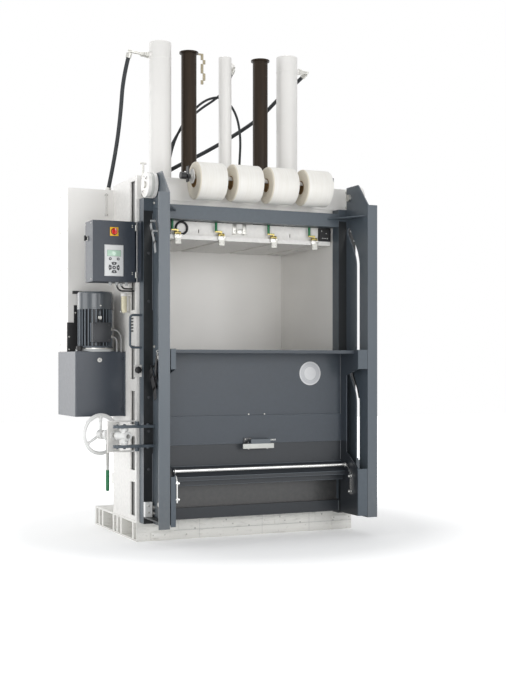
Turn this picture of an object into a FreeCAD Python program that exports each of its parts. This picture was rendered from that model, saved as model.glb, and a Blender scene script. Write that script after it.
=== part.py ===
import FreeCAD, Part
import math
import os

os.makedirs("parts", exist_ok=True)

# Vertical recycling baler, in millimetres. +X runs to the right of someone who faces the loading
# opening, +Z is up. Depths (Y) are measured back from the front plane of the columns while a piece is
# drawn. save() then moves it, so that the origin is the centre of the base's footprint on the floor.

# --- body ---------------------------------------------------------------------------------------
base_depth = 880.0
base_height = 123.0
base_floor_wall = 12.0
base_front_wall = 8.0
base_rear_wall = 26.0
small_cell = 49.0
fork_pocket = 208.0
seam_width = 4.0
seam_depth = 3.0
strip_heights = (57.0, 93.0)
pad_spans = ((-615.0, -508.0), (586.0, 664.0))
pad_height = 42.0
pad_thickness = 8.0

chamber_width = 1200.0
chamber_depth = 780.0
sheet_thickness = 12.0
column_width = 126.0
column_depth = 468.0
column_wall = 8.0
column_slot_front = 29.0
column_slot_width = 88.0
column_slot_length = 205.0
column_slot_pitch = 277.0
column_slot_height = 153.0
column_short_slots = 4
column_long_slot = (1405.0, 2190.0)
column_web_gap = 12.0
column_web = 4.0

floor_thickness = 27.0
strap_inner_x = 180.0
strap_margin = 130.0
strap_channel_width = 36.0
strap_channel_depth = 14.0

rib_height = 70.0
rib_depth = 45.0
rib_count = 5
rib_wall = 6.0

head_bottom = 2043.0
head_top = 2217.0
head_wall = 12.0
fascia_thickness = 6.0
fascia_bottom = 2076.0

# --- pressing gear --------------------------------------------------------------------------------
ram_depth = 380.0
press_cylinder_x = 452.0
press_cylinder_radius = 71.0
press_cylinder_bore = 56.0
press_cylinder_top = 3147.0
press_port_drop = 87.0
press_rod_radius = 40.0
middle_cylinder_radius = 42.5
middle_cylinder_bore = 33.0
middle_cylinder_top = 3099.0
middle_port_drop = 51.0
middle_rod_radius = 22.0
cylinder_cap = 20.0
gland_height = 24.0
cylinder_foot_height = 24.0
cylinder_foot_rim = 22.0
cylinder_foot_bolts = 8
foot_bolt_across = 17.0
foot_bolt_height = 10.0
port_boss_radius = 20.0
port_boss_length = 10.0
piston_height = 30.0
piston_end_gap = 3.0
running_gap = 0.05
slide_gap = 0.3
loose_gap = 1.0

guide_column_x = 255.0
guide_column_radius = 50.0
guide_column_wall = 6.0
guide_column_top = 3106.0
guide_cap_radius = 62.0
guide_cap_height = 10.0
bush_wall = 12.0

cam_bar_offset = 92.0
cam_bar_width = 16.0
cam_bar_thickness = 10.0
cam_bar_length = 190.0
cam_step = 14.0
cam_slot_margin = 8.0

platen_clearance = 83.0
platen_height = 114.0
platen_side_gap = 10.0
platen_front = 12.0
platen_sole = 26.0
platen_rib = 10.0
front_plate_setback = 26.0
front_plate_thickness = 8.0
slit_offsets = (150.0, 160.0, 130.0)
guide_block_width = 76.0

clamp_width = 36.0
clamp_pivot_height = 11.0
clamp_pivot_radius = 4.0
clamp_hub_radius = 9.0
clamp_lever_length = 74.0
clamp_grip_radius = 8.0
clamp_grip_length = 54.0
clamp_block_thickness = 13.0
clamp_block_drop = 30.0
clamp_grip_shift = 34.0
clamp_ring_radius = 37.0
clamp_ring_thickness = 7.0

# --- bale door ------------------------------------------------------------------------------------
door_gap = 8.0
door_thickness = 80.0
door_wall = 6.0
opening_margin = 4.0
stile_setback = 16.0
door_bottom = 118.0
stile_top = 2071.0
header_bottom = 1958.0
header_top = 2043.0
bottom_rail = (133.0, 202.0)
door_panel_top = 1150.0
door_panel_thickness = 8.0
door_panel_setback = 28.0

cheek_offset = 55.0
cheek_thickness = 8.0
cheek_front = -365.0
cheek_top = 2212.0
cheek_top_depth = -237.0
flange_width = 60.0
flange_thickness = 8.0

slot_width = 44.6
slot_depth = -238.0
slot_end_depth = -121.0
slot_bottom = 1114.0
slot_bend = 1752.0
slot_end = 1930.0
slot_bend_radius = 200.0
slot_pitch = 866.0

gusset_height = 2003.0
gusset_thickness = 8.0
gusset_front_leg = 139.0
gusset_side_leg = 247.0

hinge_reach = 14.0
hinge_heights = (330.0, 1870.0)
hinge_pin_radius = 13.0
hinge_knuckle_radius = 24.0
hinge_knuckle_height = 60.0
hinge_gap = 0.5
hinge_plate = 14.0
hinge_arm_end = 90.0
hinge_bolt_across = 24.0
hinge_bolt_height = 12.0
hinge_bolt_depths = (22.0, 62.0)

drum_radius = 75.0
drum_width = 58.0
drum_depth = -127.0
drum_drop = 69.0
drum_axle_radius = 14.0
drum_side_gap = 6.0

handle_radius = 7.0
handle_reach = 72.0
handle_span = (1175.0, 1370.0)
switch_plate_width = 48.0
switch_plate_heights = (998.0, 1070.0)
switch_button_radius = 19.0

# --- loading flap ---------------------------------------------------------------------------------
flap_gap = 9.0
flap_left_reach = 32.0
flap_face = -138.0
flap_sheet = 6.0
flap_top = 1160.0
flap_flange_depth = -313.0
flap_flange_height = 19.0
flap_fold = 458.0
flap_slant_bottom = 398.0
flap_slant_depth = -196.0
flap_lip_bottom = 376.0
flap_band = (588.0, 760.0)
flap_band_rise = 8.0
flap_lower_rail = (343.0, 374.0)
arm_top = (1045.0, 1165.0)
arm_leg = (130.0, 422.0)
arm_gusset_top = 520.0
arm_flange_width = 60.0
left_flange_width = 24.0
flap_pin_radius = 22.0
flap_pin_washer = 32.0
flap_pin_height = slot_bottom
rail_radius = 10.0
rail_depth = -220.0
rail_height = 440.0
rail_arm_depth = -277.0
rail_arm_width = 15.0
rail_arm_thickness = 7.0
rail_arm_foot = 258.0
rail_bolt_heights = (373.0, 278.0)
grip_length = 130.0
grip_height = 28.0
grip_centre = 600.0

# --- door lock ------------------------------------------------------------------------------------
lock_angle = -73.0
lock_reach = 108.0
lock_depth = -100.0
lock_height = 648.0
lock_arm_heights = (587.0, 704.0)
lock_arm_thickness = 16.0
lock_arm_width = 52.0
lock_arm_reach = 178.0
lock_knob_reach = 30.0
lock_knob_radius = 13.0
lock_knob_height = 22.0
lock_block_radius = 24.0
spindle_radius = 14.0
spindle_travel = 30.0
spindle_pitch = 6.0
wheel_radius = 128.0
wheel_rim_radius = 12.0
wheel_spoke_radius = 9.0
wheel_hub_radius = 25.0
wheel_hub_length = 40.0
wheel_distance = 254.0
lever_distance = 178.0
lever_collar = 24.0
housing_length = 60.0
nut_front = 70.0
nut_rear = 40.0
nut_gap = 1.0
housing_radius = 26.0
housing_flange = (38.0, 12.0)
bracket_plate = 10.0
bracket_width = 83.0
bracket_shelf = 8.0
bracket_heights = (550.0, 731.0)
bracket_depth = 45.0
foot_plate_height = 155.0
foot_plate_thickness = 8.0
foot_block = (44.0, 30.0, 88.0)
ring_bolt_radius = 5.0
ring_radius = 13.0
lever_drop = 330.0
lever_grip_length = 118.0

# --- strap rolls ----------------------------------------------------------------------------------
roll_radius = 114.0
roll_width = 195.0
roll_pitch = 240.0
roll_first_x = -417.0
roll_count = 4
roll_depth = -127.0
roll_height = 2188.0
core_radius = 42.0
core_wall = 4.0
roll_axle_radius = 12.0
seat_gap = 0.3
holder_plate = 6.0
holder_rail_top = 2262.0
holder_foot_depth = 46.0
holder_disc_radius = 44.0

# --- power pack and controls ----------------------------------------------------------------------
tank_width = 312.0
tank_y = (240.0, 663.0)
tank_z = (752.0, 1153.0)
tank_wall = 5.0
tank_lock_height = 1101.0
tank_lock_offset = 160.0
tank_lock_radius = 15.0
motor_offset = 158.0
motor_y = 345.0
motor_radius = 111.0
motor_core_radius = 94.0
motor_flange_height = 22.0
motor_body_top = 1415.0
motor_cowl_top = 1527.0
motor_fins = 28
motor_shaft_radius = 12.0
fan_radius = 84.0
fan_blades = 8
terminal_box_width = 115.0
terminal_box_z = (1212.0, 1330.0)
terminal_box_front = 196.0
conduit_radius = 5.0
conduit_heights = (1292.0, 1246.0)
conduit_bends = (62.0, 34.0)
gland_radius = 9.0
gland_length = 16.0
filter_radius = 17.0
filter_depth = 131.0
filter_heights = (1394.0, 1490.0)
cabinet_reach = 298.0
cabinet_depth = 198.0
cabinet_z = (1153.0, 2190.0)
cabinet_wall = 3.0
back_plate_thickness = 8.0
back_plate_sides = (7.0, 22.0)
back_plate_heights = (185.0, 295.0, 385.0)
back_plate_steps = (44.0, 110.0)
box_gap = 10.0
box_width = 263.0
box_depth = 160.0
box_door_gap = 1.0
box_mount_front = 60.0
box_mount_height = 60.0
gear_depth = 52.0
gear_levels = (100.0, 240.0)
box_z = (1570.0, 1935.0)
box_wall = 3.0
box_door_depth = 20.0
box_hinge_heights = (1596.0, 1880.0)
box_knuckle_height = 17.0
box_knuckle_radius = 4.5
box_pin_radius = 2.5
box_leaf = 2.5
screen_setback = 4.0
screen_reach = 75.0
screen_thickness = 3.0
screen_flange = 10.0
lead_radius = 5.0
lead_offsets = (100.0, 62.0)
lead_depths = (44.0, 78.0)
lead_drops = (16.0, 8.0)
lead_bends = (36.0, 28.0)
side_knob_depth = 122.0
side_knob_height = 1836.0
side_knob_radius = 12.0
switch_offset = 131.0
switch_z = 1870.0
switch_plate = 52.0
switch_knob_radius = 17.0
keypad_offset = 132.0
keypad_z = (1603.0, 1790.0)
keypad_width = 117.0

# --- hoses: points along each free hose, from its upper fitting to its lower one. The third number is a
# share of the rise from the hose's lower end to its upper end, or to the top of its arch. ----------
wide_hose = 26.0
thin_hose = 16.0
wide_hose_drop = 35.0
right_hose_drop = 18.0
thin_hose_drop = 42.0
hose_stand = 45.0
cabinet_stand = 30.0
arch_rise = 600.0
left_route = ((-668, 380, 1), (-697, 398, 0.8323), (-698, 440, 0.5839), (-710, 508, 0.2733), (-742, 560, 0))
right_route = ((596, 432, 1), (560, 515, 0.9333), (470, 560, 0.8244), (350, 560, 0.6577),
               (140, 556, 0.4654), (-100, 560, 0.2795), (-320, 566, 0.1321), (-480, 572, 0))
middle_route = ((66, 420, 1), (50, 470, 0.8844), (-20, 500, 0.7836), (-125, 506, 0.6895),
                (-225, 510, 0.5618), (-310, 514, 0.4005), (-372, 520, 0.1989), (-404, 526, 0))
arch_route = ((124, 450, 0), (136, 452, 0.28), (146, 456, 0.58), (112, 462, 0.8467), (20, 468, 1),
              (-100, 474, 0.955), (-205, 482, 0.7883), (-290, 492, 0.5717), (-345, 502, 0.2967),
              (-366, 512, 0))
ferrule_length = 44.0
ferrule_wall = 5.0

# Sizes that follow from the ones above.
body_half = chamber_width / 2 + sheet_thickness + column_width
column_inner = body_half - column_width
chamber_half = chamber_width / 2
strap_outer_x = chamber_half - strap_margin
base_top = base_height
opening_half = chamber_half - opening_margin
stile_outer = body_half - stile_setback
cheek_x = chamber_half + cheek_offset
drum_height = cheek_top - drum_drop
hinge_axis_x = body_half + hinge_reach
flap_half = opening_half - flap_gap
lock_x = -body_half - lock_reach
lock_knob_x = -body_half - lock_knob_reach
lock_arm_end = body_half + lock_arm_reach
tank_x = (-body_half - tank_width, -body_half)
motor_x = -body_half - motor_offset
cabinet_x = (-body_half - cabinet_reach, -column_inner)
cabinet_y = (column_depth, column_depth + cabinet_depth)
box_x = (-body_half - box_gap - box_width, -body_half - box_gap)
box_hinge_x = -body_half - box_gap / 2
switch_x = box_x[1] - switch_offset
keypad_x = box_x[1] - keypad_offset
platen_top = head_bottom - platen_clearance
platen_bottom = platen_top - platen_height
press_port_height = press_cylinder_top - press_port_drop
middle_port_height = middle_cylinder_top - middle_port_drop
floor_top = base_top + floor_thickness
door_back = -door_gap
door_front = door_back - door_thickness
hinge_depth = door_back - door_thickness / 2
strap_lines = (-strap_outer_x, -strap_inner_x, strap_inner_x, strap_outer_x)
rear_face = chamber_depth + sheet_thickness


def draped(route, low, high):
    """A hose's points, with each share of the rise turned into a height."""
    return [(x, y, low + share * (high - low)) for x, y, share in route]


hose_foot = head_top + hose_stand
hose_a = draped(left_route, cabinet_z[1] + cabinet_stand, press_port_height - wide_hose_drop)
hose_b = draped(right_route, hose_foot, press_port_height - right_hose_drop)
hose_c = draped(middle_route, hose_foot, middle_port_height - thin_hose_drop)
hose_d = draped(arch_route, hose_foot, hose_foot + arch_rise)


def vector(x, y, z):
    return FreeCAD.Vector(x, y, z)


def box(x0, x1, y0, y1, z0, z1):
    return Part.makeBox(x1 - x0, y1 - y0, z1 - z0, vector(x0, y0, z0))


def shrunk_box(x, y, z, wall):
    """The room inside a closed housing."""
    return box(x[0] + wall, x[1] - wall, y[0] + wall, y[1] - wall, z[0] + wall, z[1] - wall)


def rod(radius, start, end):
    """A round bar from one point to another."""
    start, end = vector(*start), vector(*end)
    return Part.makeCylinder(radius, (end - start).Length, start, end - start)


def tube(radius, bore, start, end):
    return rod(radius, start, end).cut(rod(bore, start, end))


def outline(points):
    """A flat face with straight sides."""
    corners = [vector(*point) for point in points]
    return Part.Face(Part.makePolygon(corners + corners[:1]))


def side_plate(points, x0, x1):
    """A plate that lies in a plane of depth and height. Points are (y, z)."""
    return outline([(x0, y, z) for y, z in points]).extrude(vector(x1 - x0, 0, 0))


def front_plate(points, y0, y1):
    """A plate that faces the front. Points are (x, z)."""
    return outline([(x, y0, z) for x, z in points]).extrude(vector(0, y1 - y0, 0))


def level_plate(points, z0, z1):
    """A level plate. Points are (x, y)."""
    return outline([(x, y, z0) for x, y in points]).extrude(vector(0, 0, z1 - z0))


def hex_head(across, height, centre, axis):
    """A hexagon bolt head that stands on a point."""
    centre, axis = vector(*centre), vector(*axis)
    side = axis.cross(vector(0, 0, 1)) if abs(axis.z) < 0.5 else vector(1, 0, 0)
    other = axis.cross(side)
    corners = []
    for n in range(6):
        angle = math.radians(60 * n)
        corners.append(centre + (side * math.cos(angle) + other * math.sin(angle)) * (across / math.sqrt(3)))
    return Part.Face(Part.makePolygon(corners + corners[:1])).extrude(axis * height)


def fuse(shapes):
    joined = shapes[0].multiFuse(list(shapes[1:])) if len(shapes) > 1 else shapes[0]
    return joined.removeSplitter()


def cut(shape, tools):
    return shape.cut(list(tools)) if tools else shape


def mirrored(shape):
    """The same piece on the other side of the machine."""
    return shape.mirror(vector(0, 0, 0), vector(1, 0, 0))


def both_sides(shape):
    return [shape, mirrored(shape)]


def save(name, shapes):
    """Write one node. A list of shapes is a group of separate solids."""
    shape = Part.makeCompound(list(shapes)) if isinstance(shapes, (list, tuple)) else shapes
    shape = shape.copy()
    shape.translate(vector(0, -base_depth / 2, 0))
    shape.exportStep("parts/" + name + ".step")


# --- body -----------------------------------------------------------------------------------------
def base_cells():
    """Front and back of each hollow cell that runs through the base from side to side."""
    widths = (small_cell, fork_pocket, small_cell, small_cell, fork_pocket, small_cell, small_cell)
    web = (base_depth - base_front_wall - base_rear_wall - sum(widths)) / (len(widths) - 1)
    cells = []
    front = base_front_wall
    for width in widths:
        cells.append((front, front + width))
        front += width + web
    return cells


def base_frame():
    base = box(-body_half, body_half, 0, base_depth, 0, base_top)
    hollows = [box(-body_half - 1, body_half + 1, front, back, base_floor_wall, base_top - base_floor_wall)
               for front, back in base_cells()]
    seams = [box(-body_half - 1, body_half + 1, -1, seam_depth, z - seam_width / 2, z + seam_width / 2)
             for z in strip_heights]
    low, high = strip_heights
    joints = [box(x - seam_width / 2, x + seam_width / 2, -1, seam_depth, low, base_top + 1)
              for x in strap_lines]
    pads = [box(start, end, -pad_thickness, 0, 2, pad_height) for start, end in pad_spans]
    return fuse([cut(base, hollows + seams + joints)] + pads)


def floor_plate():
    plate = box(-chamber_half, chamber_half, 0, chamber_depth, base_top, floor_top)
    channels = [box(x - strap_channel_width / 2, x + strap_channel_width / 2, -1, chamber_depth + 1,
                    floor_top - strap_channel_depth, floor_top + 1) for x in strap_lines]
    return cut(plate, channels)


def column_slots():
    spans = [(column_slot_height + n * column_slot_pitch,
              column_slot_height + n * column_slot_pitch + column_slot_length)
             for n in range(column_short_slots)]
    return spans + [column_long_slot]


def side_column():
    """The left column: a folded box with a row of slots in its outer face and a web behind them."""
    shell = box(-body_half, -column_inner, 0, column_depth, base_top, head_top)
    inside = box(-body_half + column_wall, -column_inner - column_wall, column_wall,
                 column_depth - column_wall, base_top + column_wall, head_top - column_wall)
    slots = [box(-body_half - 1, -body_half + column_wall + 1, column_slot_front,
                 column_slot_front + column_slot_width, low, high) for low, high in column_slots()]
    web_x = -body_half + column_wall + column_web_gap
    web = box(web_x, web_x + column_web, column_wall, column_depth - column_wall, base_top + column_wall,
              head_top - column_wall)
    return fuse([cut(shell, [inside] + slots), web])


def rib_levels():
    step = (head_bottom - base_top) / rib_count
    return [base_top + step * (n + 0.5) for n in range(rib_count)]


def rib_channel(x0, x1, y0, y1, z, open_side):
    """A level channel, welded to a wall with its open side."""
    half = rib_height / 2
    bar = box(x0, x1, y0, y1, z - half, z + half)
    ends = {"right": (x0 + rib_wall, x1 + 1, y0 + rib_wall, y1 - rib_wall),
            "front": (x0 + rib_wall, x1 - rib_wall, y0 - 1, y1 - rib_wall)}
    return bar.cut(box(*ends[open_side], z - half + rib_wall, z + half - rib_wall))


def side_sheet():
    """The left chamber wall, stiffened behind the column."""
    sheet = box(-column_inner, -chamber_half, 0, chamber_depth, base_top, head_bottom)
    front = cabinet_y[1] + 8
    ribs = [rib_channel(-column_inner - rib_depth, -column_inner, front, chamber_depth, z, "right")
            for z in rib_levels()]
    return fuse([sheet] + ribs)


def rear_wall():
    wall = box(-column_inner, column_inner, chamber_depth, rear_face, base_top, head_bottom)
    ribs = [rib_channel(-column_inner, column_inner, rear_face, rear_face + rib_depth, z, "front")
            for z in rib_levels()]
    return fuse([wall] + ribs)


def ram_bores():
    """Centre, radius and sleeve of each bore through the crosshead."""
    bores = [(side * press_cylinder_x, press_rod_radius + loose_gap) for side in (-1, 1)]
    bores.append((0, middle_rod_radius + loose_gap))
    bores += [(side * guide_column_x, guide_column_radius + running_gap) for side in (-1, 1)]
    return bores


def cam_bar_x():
    return -guide_column_x + cam_bar_offset


def crosshead():
    shell = box(-column_inner, column_inner, 0, rear_face, head_bottom, head_top)
    inside = box(-column_inner + head_wall, column_inner - head_wall, head_wall, rear_face - head_wall,
                 head_bottom + head_wall, head_top - head_wall)
    shell = shell.cut(inside)
    sleeves = [rod(radius + bush_wall, (x, ram_depth, head_bottom), (x, ram_depth, head_top))
               for x, radius in ram_bores()]
    fascia = box(-body_half, body_half, -fascia_thickness, 0, fascia_bottom, head_top)
    head = fuse([shell, fascia] + sleeves)
    holes = [rod(radius, (x, ram_depth, head_bottom - 1), (x, ram_depth, head_top + 1))
             for x, radius in ram_bores()]
    reach = cam_bar_width / 2 + cam_step + cam_slot_margin
    cam_slot = box(cam_bar_x() - reach, cam_bar_x() + reach,
                   ram_depth - cam_bar_thickness / 2 - cam_slot_margin,
                   ram_depth + cam_bar_thickness / 2 + cam_slot_margin, head_bottom - 1, head_top + 1)
    return cut(head, holes + [cam_slot])


def lifting_pin():
    """A T-headed pin on top of the left column."""
    x, y = -body_half + 62, 60
    stem = rod(7, (x, y, head_top), (x, y, head_top + 86))
    collar = rod(13, (x, y, head_top), (x, y, head_top + 14))
    bar = rod(6, (x - 20, y, head_top + 86), (x + 20, y, head_top + 86))
    return fuse([stem, collar, bar])


def cylinder(x, radius, bore, top, rod_radius, port_height, port_side):
    """A hydraulic barrel on its foot flange, closed on top, with a port boss at its side."""
    barrel = rod(radius, (x, ram_depth, head_top), (x, ram_depth, top - 4))
    crown = Part.makeCone(radius, radius - 6, 4, vector(x, ram_depth, top - 4))
    foot = rod(radius + cylinder_foot_rim, (x, ram_depth, head_top),
               (x, ram_depth, head_top + cylinder_foot_height))
    boss = rod(port_boss_radius, (x, ram_depth, port_height),
               (x + port_side * (radius + port_boss_length), ram_depth, port_height))
    ring = radius + cylinder_foot_rim / 2
    bolts = []
    for n in range(cylinder_foot_bolts):
        angle = math.radians(360 / cylinder_foot_bolts * (n + 0.5))
        place = (x + ring * math.cos(angle), ram_depth + ring * math.sin(angle),
                 head_top + cylinder_foot_height)
        bolts.append(hex_head(foot_bolt_across, foot_bolt_height, place, (0, 0, 1)))
    body = fuse([barrel, crown, foot, boss] + bolts)
    chamber = rod(bore, (x, ram_depth, head_top + gland_height), (x, ram_depth, top - cylinder_cap))
    gland = rod(rod_radius + running_gap, (x, ram_depth, head_top - 1),
                (x, ram_depth, head_top + gland_height + 1))
    return cut(body, [chamber, gland])


def press_cylinders():
    return [cylinder(side * press_cylinder_x, press_cylinder_radius, press_cylinder_bore,
                     press_cylinder_top, press_rod_radius, press_port_height, side) for side in (-1, 1)]


def middle_cylinder():
    return cylinder(0, middle_cylinder_radius, middle_cylinder_bore, middle_cylinder_top,
                    middle_rod_radius, middle_port_height, 1)


# --- hoses and their fittings ---------------------------------------------------------------------
def hose_tube(name, points, diameter):
    """A round tube of straight runs joined by tangent arcs."""
    points = [vector(*point) for point in points]
    edges = []
    radii = []
    start = points[0]
    for before, corner, after in zip(points, points[1:], points[2:]):
        into = corner - before
        out = after - corner
        turn = into.getAngle(out)
        short = min(into.Length, out.Length)
        trim = 0.45 * short
        radii.append(trim / math.tan(turn / 2))
        into.normalize()
        out.normalize()
        first = corner - into * trim
        last = corner + out * trim
        towards = (out - into)
        towards.normalize()
        centre_distance = radii[-1] / math.cos(turn / 2)
        middle = corner + towards * (centre_distance - radii[-1])
        edges.append(Part.LineSegment(start, first).toShape())
        edges.append(Part.Arc(first, middle, last).toShape())
        start = last
    edges.append(Part.LineSegment(start, points[-1]).toShape())
    path = Part.Wire(edges)
    section = Part.Wire(Part.makeCircle(diameter / 2, points[0], points[1] - points[0]))
    hose = path.makePipeShell([section], True, False)
    expected = math.pi * diameter ** 2 / 4 * path.Length
    print(name, "length", round(path.Length), "least radius", round(min(radii)),
          "volume ratio", round(hose.Volume / expected, 4))
    return hose


def elbow(hose_end, hose_next, seat, diameter):
    """A swaged ferrule on the hose's end, and an elbow from it to a flat seat."""
    end = vector(*hose_end)
    away = end - vector(*hose_next)
    away.normalize()
    corner = end + away * ferrule_length
    radius = diameter / 2
    ferrule = Part.makeCylinder(radius + ferrule_wall, ferrule_length * 0.7, end, away)
    neck = Part.makeCylinder(radius * 0.8, ferrule_length, end, away)
    ball = Part.makeSphere(radius, corner)
    seat = vector(*seat)
    stem = Part.makeCylinder(radius * 0.8, (seat - corner).Length, corner, seat - corner)
    return fuse([ferrule, neck, ball, stem])


def seat_nut(seat, axis, diameter, length):
    """A hexagon nut that sits flat on a seat."""
    centre = vector(*seat)
    direction = vector(*axis)
    nut = Part.makeCylinder(diameter * 0.72, length, centre, direction)
    return nut


def hose_fitting(hose_end, hose_next, seat, axis, diameter):
    """The elbow with its nut. Axis points out of the seat, towards the elbow."""
    nut_length = diameter * 0.7
    stem_seat = [s + a * nut_length * 0.5 for s, a in zip(seat, axis)]
    elbow_shape = elbow(hose_end, hose_next, stem_seat, diameter)
    nut = seat_nut(seat, axis, diameter, nut_length)
    keep_out = Part.makeCylinder(diameter * 4, diameter * 4, vector(*seat), vector(*axis) * -1)
    return fuse([elbow_shape, nut]).cut(keep_out)


def hose_fittings():
    side = press_cylinder_x + press_cylinder_radius + port_boss_length
    top_a = (-side, ram_depth, press_port_height)
    top_b = (side, ram_depth, press_port_height)
    top_c = (middle_cylinder_radius + port_boss_length, ram_depth, middle_port_height)
    fittings = [hose_fitting(hose_a[0], hose_a[1], top_a, (-1, 0, 0), wide_hose),
                hose_fitting(hose_b[0], hose_b[1], top_b, (1, 0, 0), wide_hose),
                hose_fitting(hose_c[0], hose_c[1], top_c, (1, 0, 0), thin_hose)]
    for points, diameter, level in ((hose_a, wide_hose, cabinet_z[1]), (hose_b, wide_hose, head_top),
                                    (hose_c, thin_hose, head_top), (hose_d, thin_hose, head_top)):
        fittings.append(standing_ferrule(points[-1], points[-2], level, diameter))
    fittings.append(standing_ferrule(hose_d[0], hose_d[1], head_top, thin_hose))
    return fittings


def standing_ferrule(hose_end, hose_next, level, diameter):
    """A ferrule that carries on from the hose into a bulkhead nut on a level top."""
    end = vector(*hose_end)
    away = end - vector(*hose_next)
    away.normalize()
    reach = (end.z - level) / -away.z + diameter
    radius = diameter / 2
    stem = Part.makeCylinder(radius * 0.8, reach, end, away)
    ferrule = Part.makeCylinder(radius + ferrule_wall, (end.z - level) * 0.6, end, away)
    foot = end + away * ((end.z - level) / -away.z)
    nut = Part.makeCylinder(radius * 1.5, diameter * 0.5, vector(foot.x, foot.y, level))
    below = Part.makeBox(diameter * 8, diameter * 8, diameter * 4,
                         vector(foot.x - diameter * 4, foot.y - diameter * 4, level - diameter * 4))
    return fuse([stem, ferrule, nut]).cut(below)


# --- platen and what moves with it ----------------------------------------------------------------
def platen_half():
    return chamber_half - platen_side_gap


def platen():
    half = platen_half()
    back = chamber_depth - platen_side_gap
    sole = box(-half, half, platen_front, back, platen_bottom, platen_bottom + platen_sole)
    channels = [box(x - strap_channel_width / 2, x + strap_channel_width / 2, platen_front - 1, back + 1,
                    platen_bottom - 1, platen_bottom + strap_channel_depth) for x in strap_lines]
    sole = cut(sole, channels)
    front = platen_front + front_plate_setback
    low = platen_bottom + platen_sole
    upright = box(-half, half, front, front + front_plate_thickness, low, platen_top)
    slits = [box(x - 3, x + 3, front - 1, front + front_plate_thickness + 1, low + 18, low + 42)
             for x in [line + offset for line, offset in zip(strap_lines, slit_offsets)]]
    upright = cut(upright, slits)
    rear = box(-half, half, back - platen_rib, back, low, platen_top)
    ribs = [box(x - platen_rib / 2, x + platen_rib / 2, front, back, low, platen_top)
            for x in (-half + platen_rib / 2, -press_cylinder_x, -guide_column_x, 0, guide_column_x,
                      press_cylinder_x, half - platen_rib / 2)]
    pads = [box(x - guide_cap_radius, x + guide_cap_radius, ram_depth - guide_cap_radius,
                ram_depth + guide_cap_radius, platen_top - platen_rib, platen_top)
            for x in (-press_cylinder_x, -guide_column_x, 0, guide_column_x, press_cylinder_x)]
    blocks = [box(side * half - guide_block_width * (side > 0), side * half + guide_block_width * (side < 0),
                  platen_front, front, low, platen_top) for side in (-1, 1)]
    return fuse([sole, upright, rear] + ribs + pads + blocks)


def guide_columns():
    """Two tubes that stand on the platen, each closed by a wider cap."""
    columns = []
    for side in (-1, 1):
        x = side * guide_column_x
        column = tube(guide_column_radius, guide_column_radius - guide_column_wall,
                      (x, ram_depth, platen_top), (x, ram_depth, guide_column_top - guide_cap_height))
        cap = rod(guide_cap_radius, (x, ram_depth, guide_column_top - guide_cap_height),
                  (x, ram_depth, guide_column_top))
        columns.append(fuse([column, cap]))
    return columns


def cam_bar():
    """A stepped bar that hangs from the left cap and trips the end switches."""
    x = cam_bar_x()
    top = guide_column_top - guide_cap_height
    half = cam_bar_width / 2
    steps = ((0, 0.16, 0), (0.16, 0.3, cam_step), (0.3, 0.62, 0), (0.62, 0.86, cam_step), (0.86, 1.0, 0))
    low_y, high_y = ram_depth - cam_bar_thickness / 2, ram_depth + cam_bar_thickness / 2
    pieces = [box(x - half + shift, x + half + shift, low_y, high_y,
                  top - cam_bar_length * end, top - cam_bar_length * start) for start, end, shift in steps]
    arm = box(-guide_column_x, x + half, low_y, high_y, top, guide_column_top)
    cap = rod(guide_cap_radius, (-guide_column_x, ram_depth, top - 1),
              (-guide_column_x, ram_depth, guide_column_top + 1))
    return fuse(pieces + [arm]).cut(cap)


def piston_rods():
    rods = []
    press = (press_rod_radius, press_cylinder_bore, press_cylinder_top)
    middle = (middle_rod_radius, middle_cylinder_bore, middle_cylinder_top)
    for x, (radius, bore, top) in ((-press_cylinder_x, press), (0, middle), (press_cylinder_x, press)):
        end = top - cylinder_cap - piston_end_gap
        shaft = rod(radius, (x, ram_depth, platen_top), (x, ram_depth, end))
        piston = rod(bore - loose_gap, (x, ram_depth, end - piston_height), (x, ram_depth, end))
        rods.append(fuse([shaft, piston]))
    return rods


def clamp_pivot():
    """Depth and height of the clamp levers' pins."""
    return platen_front, platen_bottom + platen_sole + clamp_pivot_height


def clamp_base(x):
    """A strap clamp's block, cheeks and pin, on the platen's front edge."""
    low = platen_bottom + platen_sole
    half = clamp_width / 2
    pivot_y, pivot_z = clamp_pivot()
    block = box(x - half, x + half, platen_front - clamp_block_thickness, platen_front,
                platen_bottom - clamp_block_drop, low)
    cheeks = [clamp_cheek(inner, outer, low, pivot_z + clamp_hub_radius)
              for inner, outer in ((x - half, x - half + 5), (x + half - 5, x + half))]
    pin = rod(clamp_pivot_radius, (x - half - 3, pivot_y, pivot_z), (x + half + 3, pivot_y, pivot_z))
    return fuse([block, pin] + cheeks)


def clamp_cheek(x0, x1, low, top):
    """One side plate of a strap clamp, rounded where the lever's arm tips down over its front."""
    front = platen_front - clamp_block_thickness
    plate = box(x0, x1, front, platen_front + 10, low, top)
    corner = [edge for edge in plate.Edges
              if all(abs(end.Y - front) < 0.001 and abs(end.Z - top) < 0.001 for end in edge.Vertexes)]
    return plate.makeFillet(clamp_hub_radius, corner)


def clamp_ring():
    """A black ring that stands on the sole behind the first clamp, against the platen's front plate."""
    low = platen_bottom + platen_sole
    radius = clamp_ring_radius + clamp_ring_thickness
    y = platen_front + front_plate_setback - clamp_ring_thickness
    centre = vector(-strap_outer_x + clamp_grip_shift, y, low + radius)
    return Part.makeTorus(clamp_ring_radius, clamp_ring_thickness, centre, vector(0, 1, 0))


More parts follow.
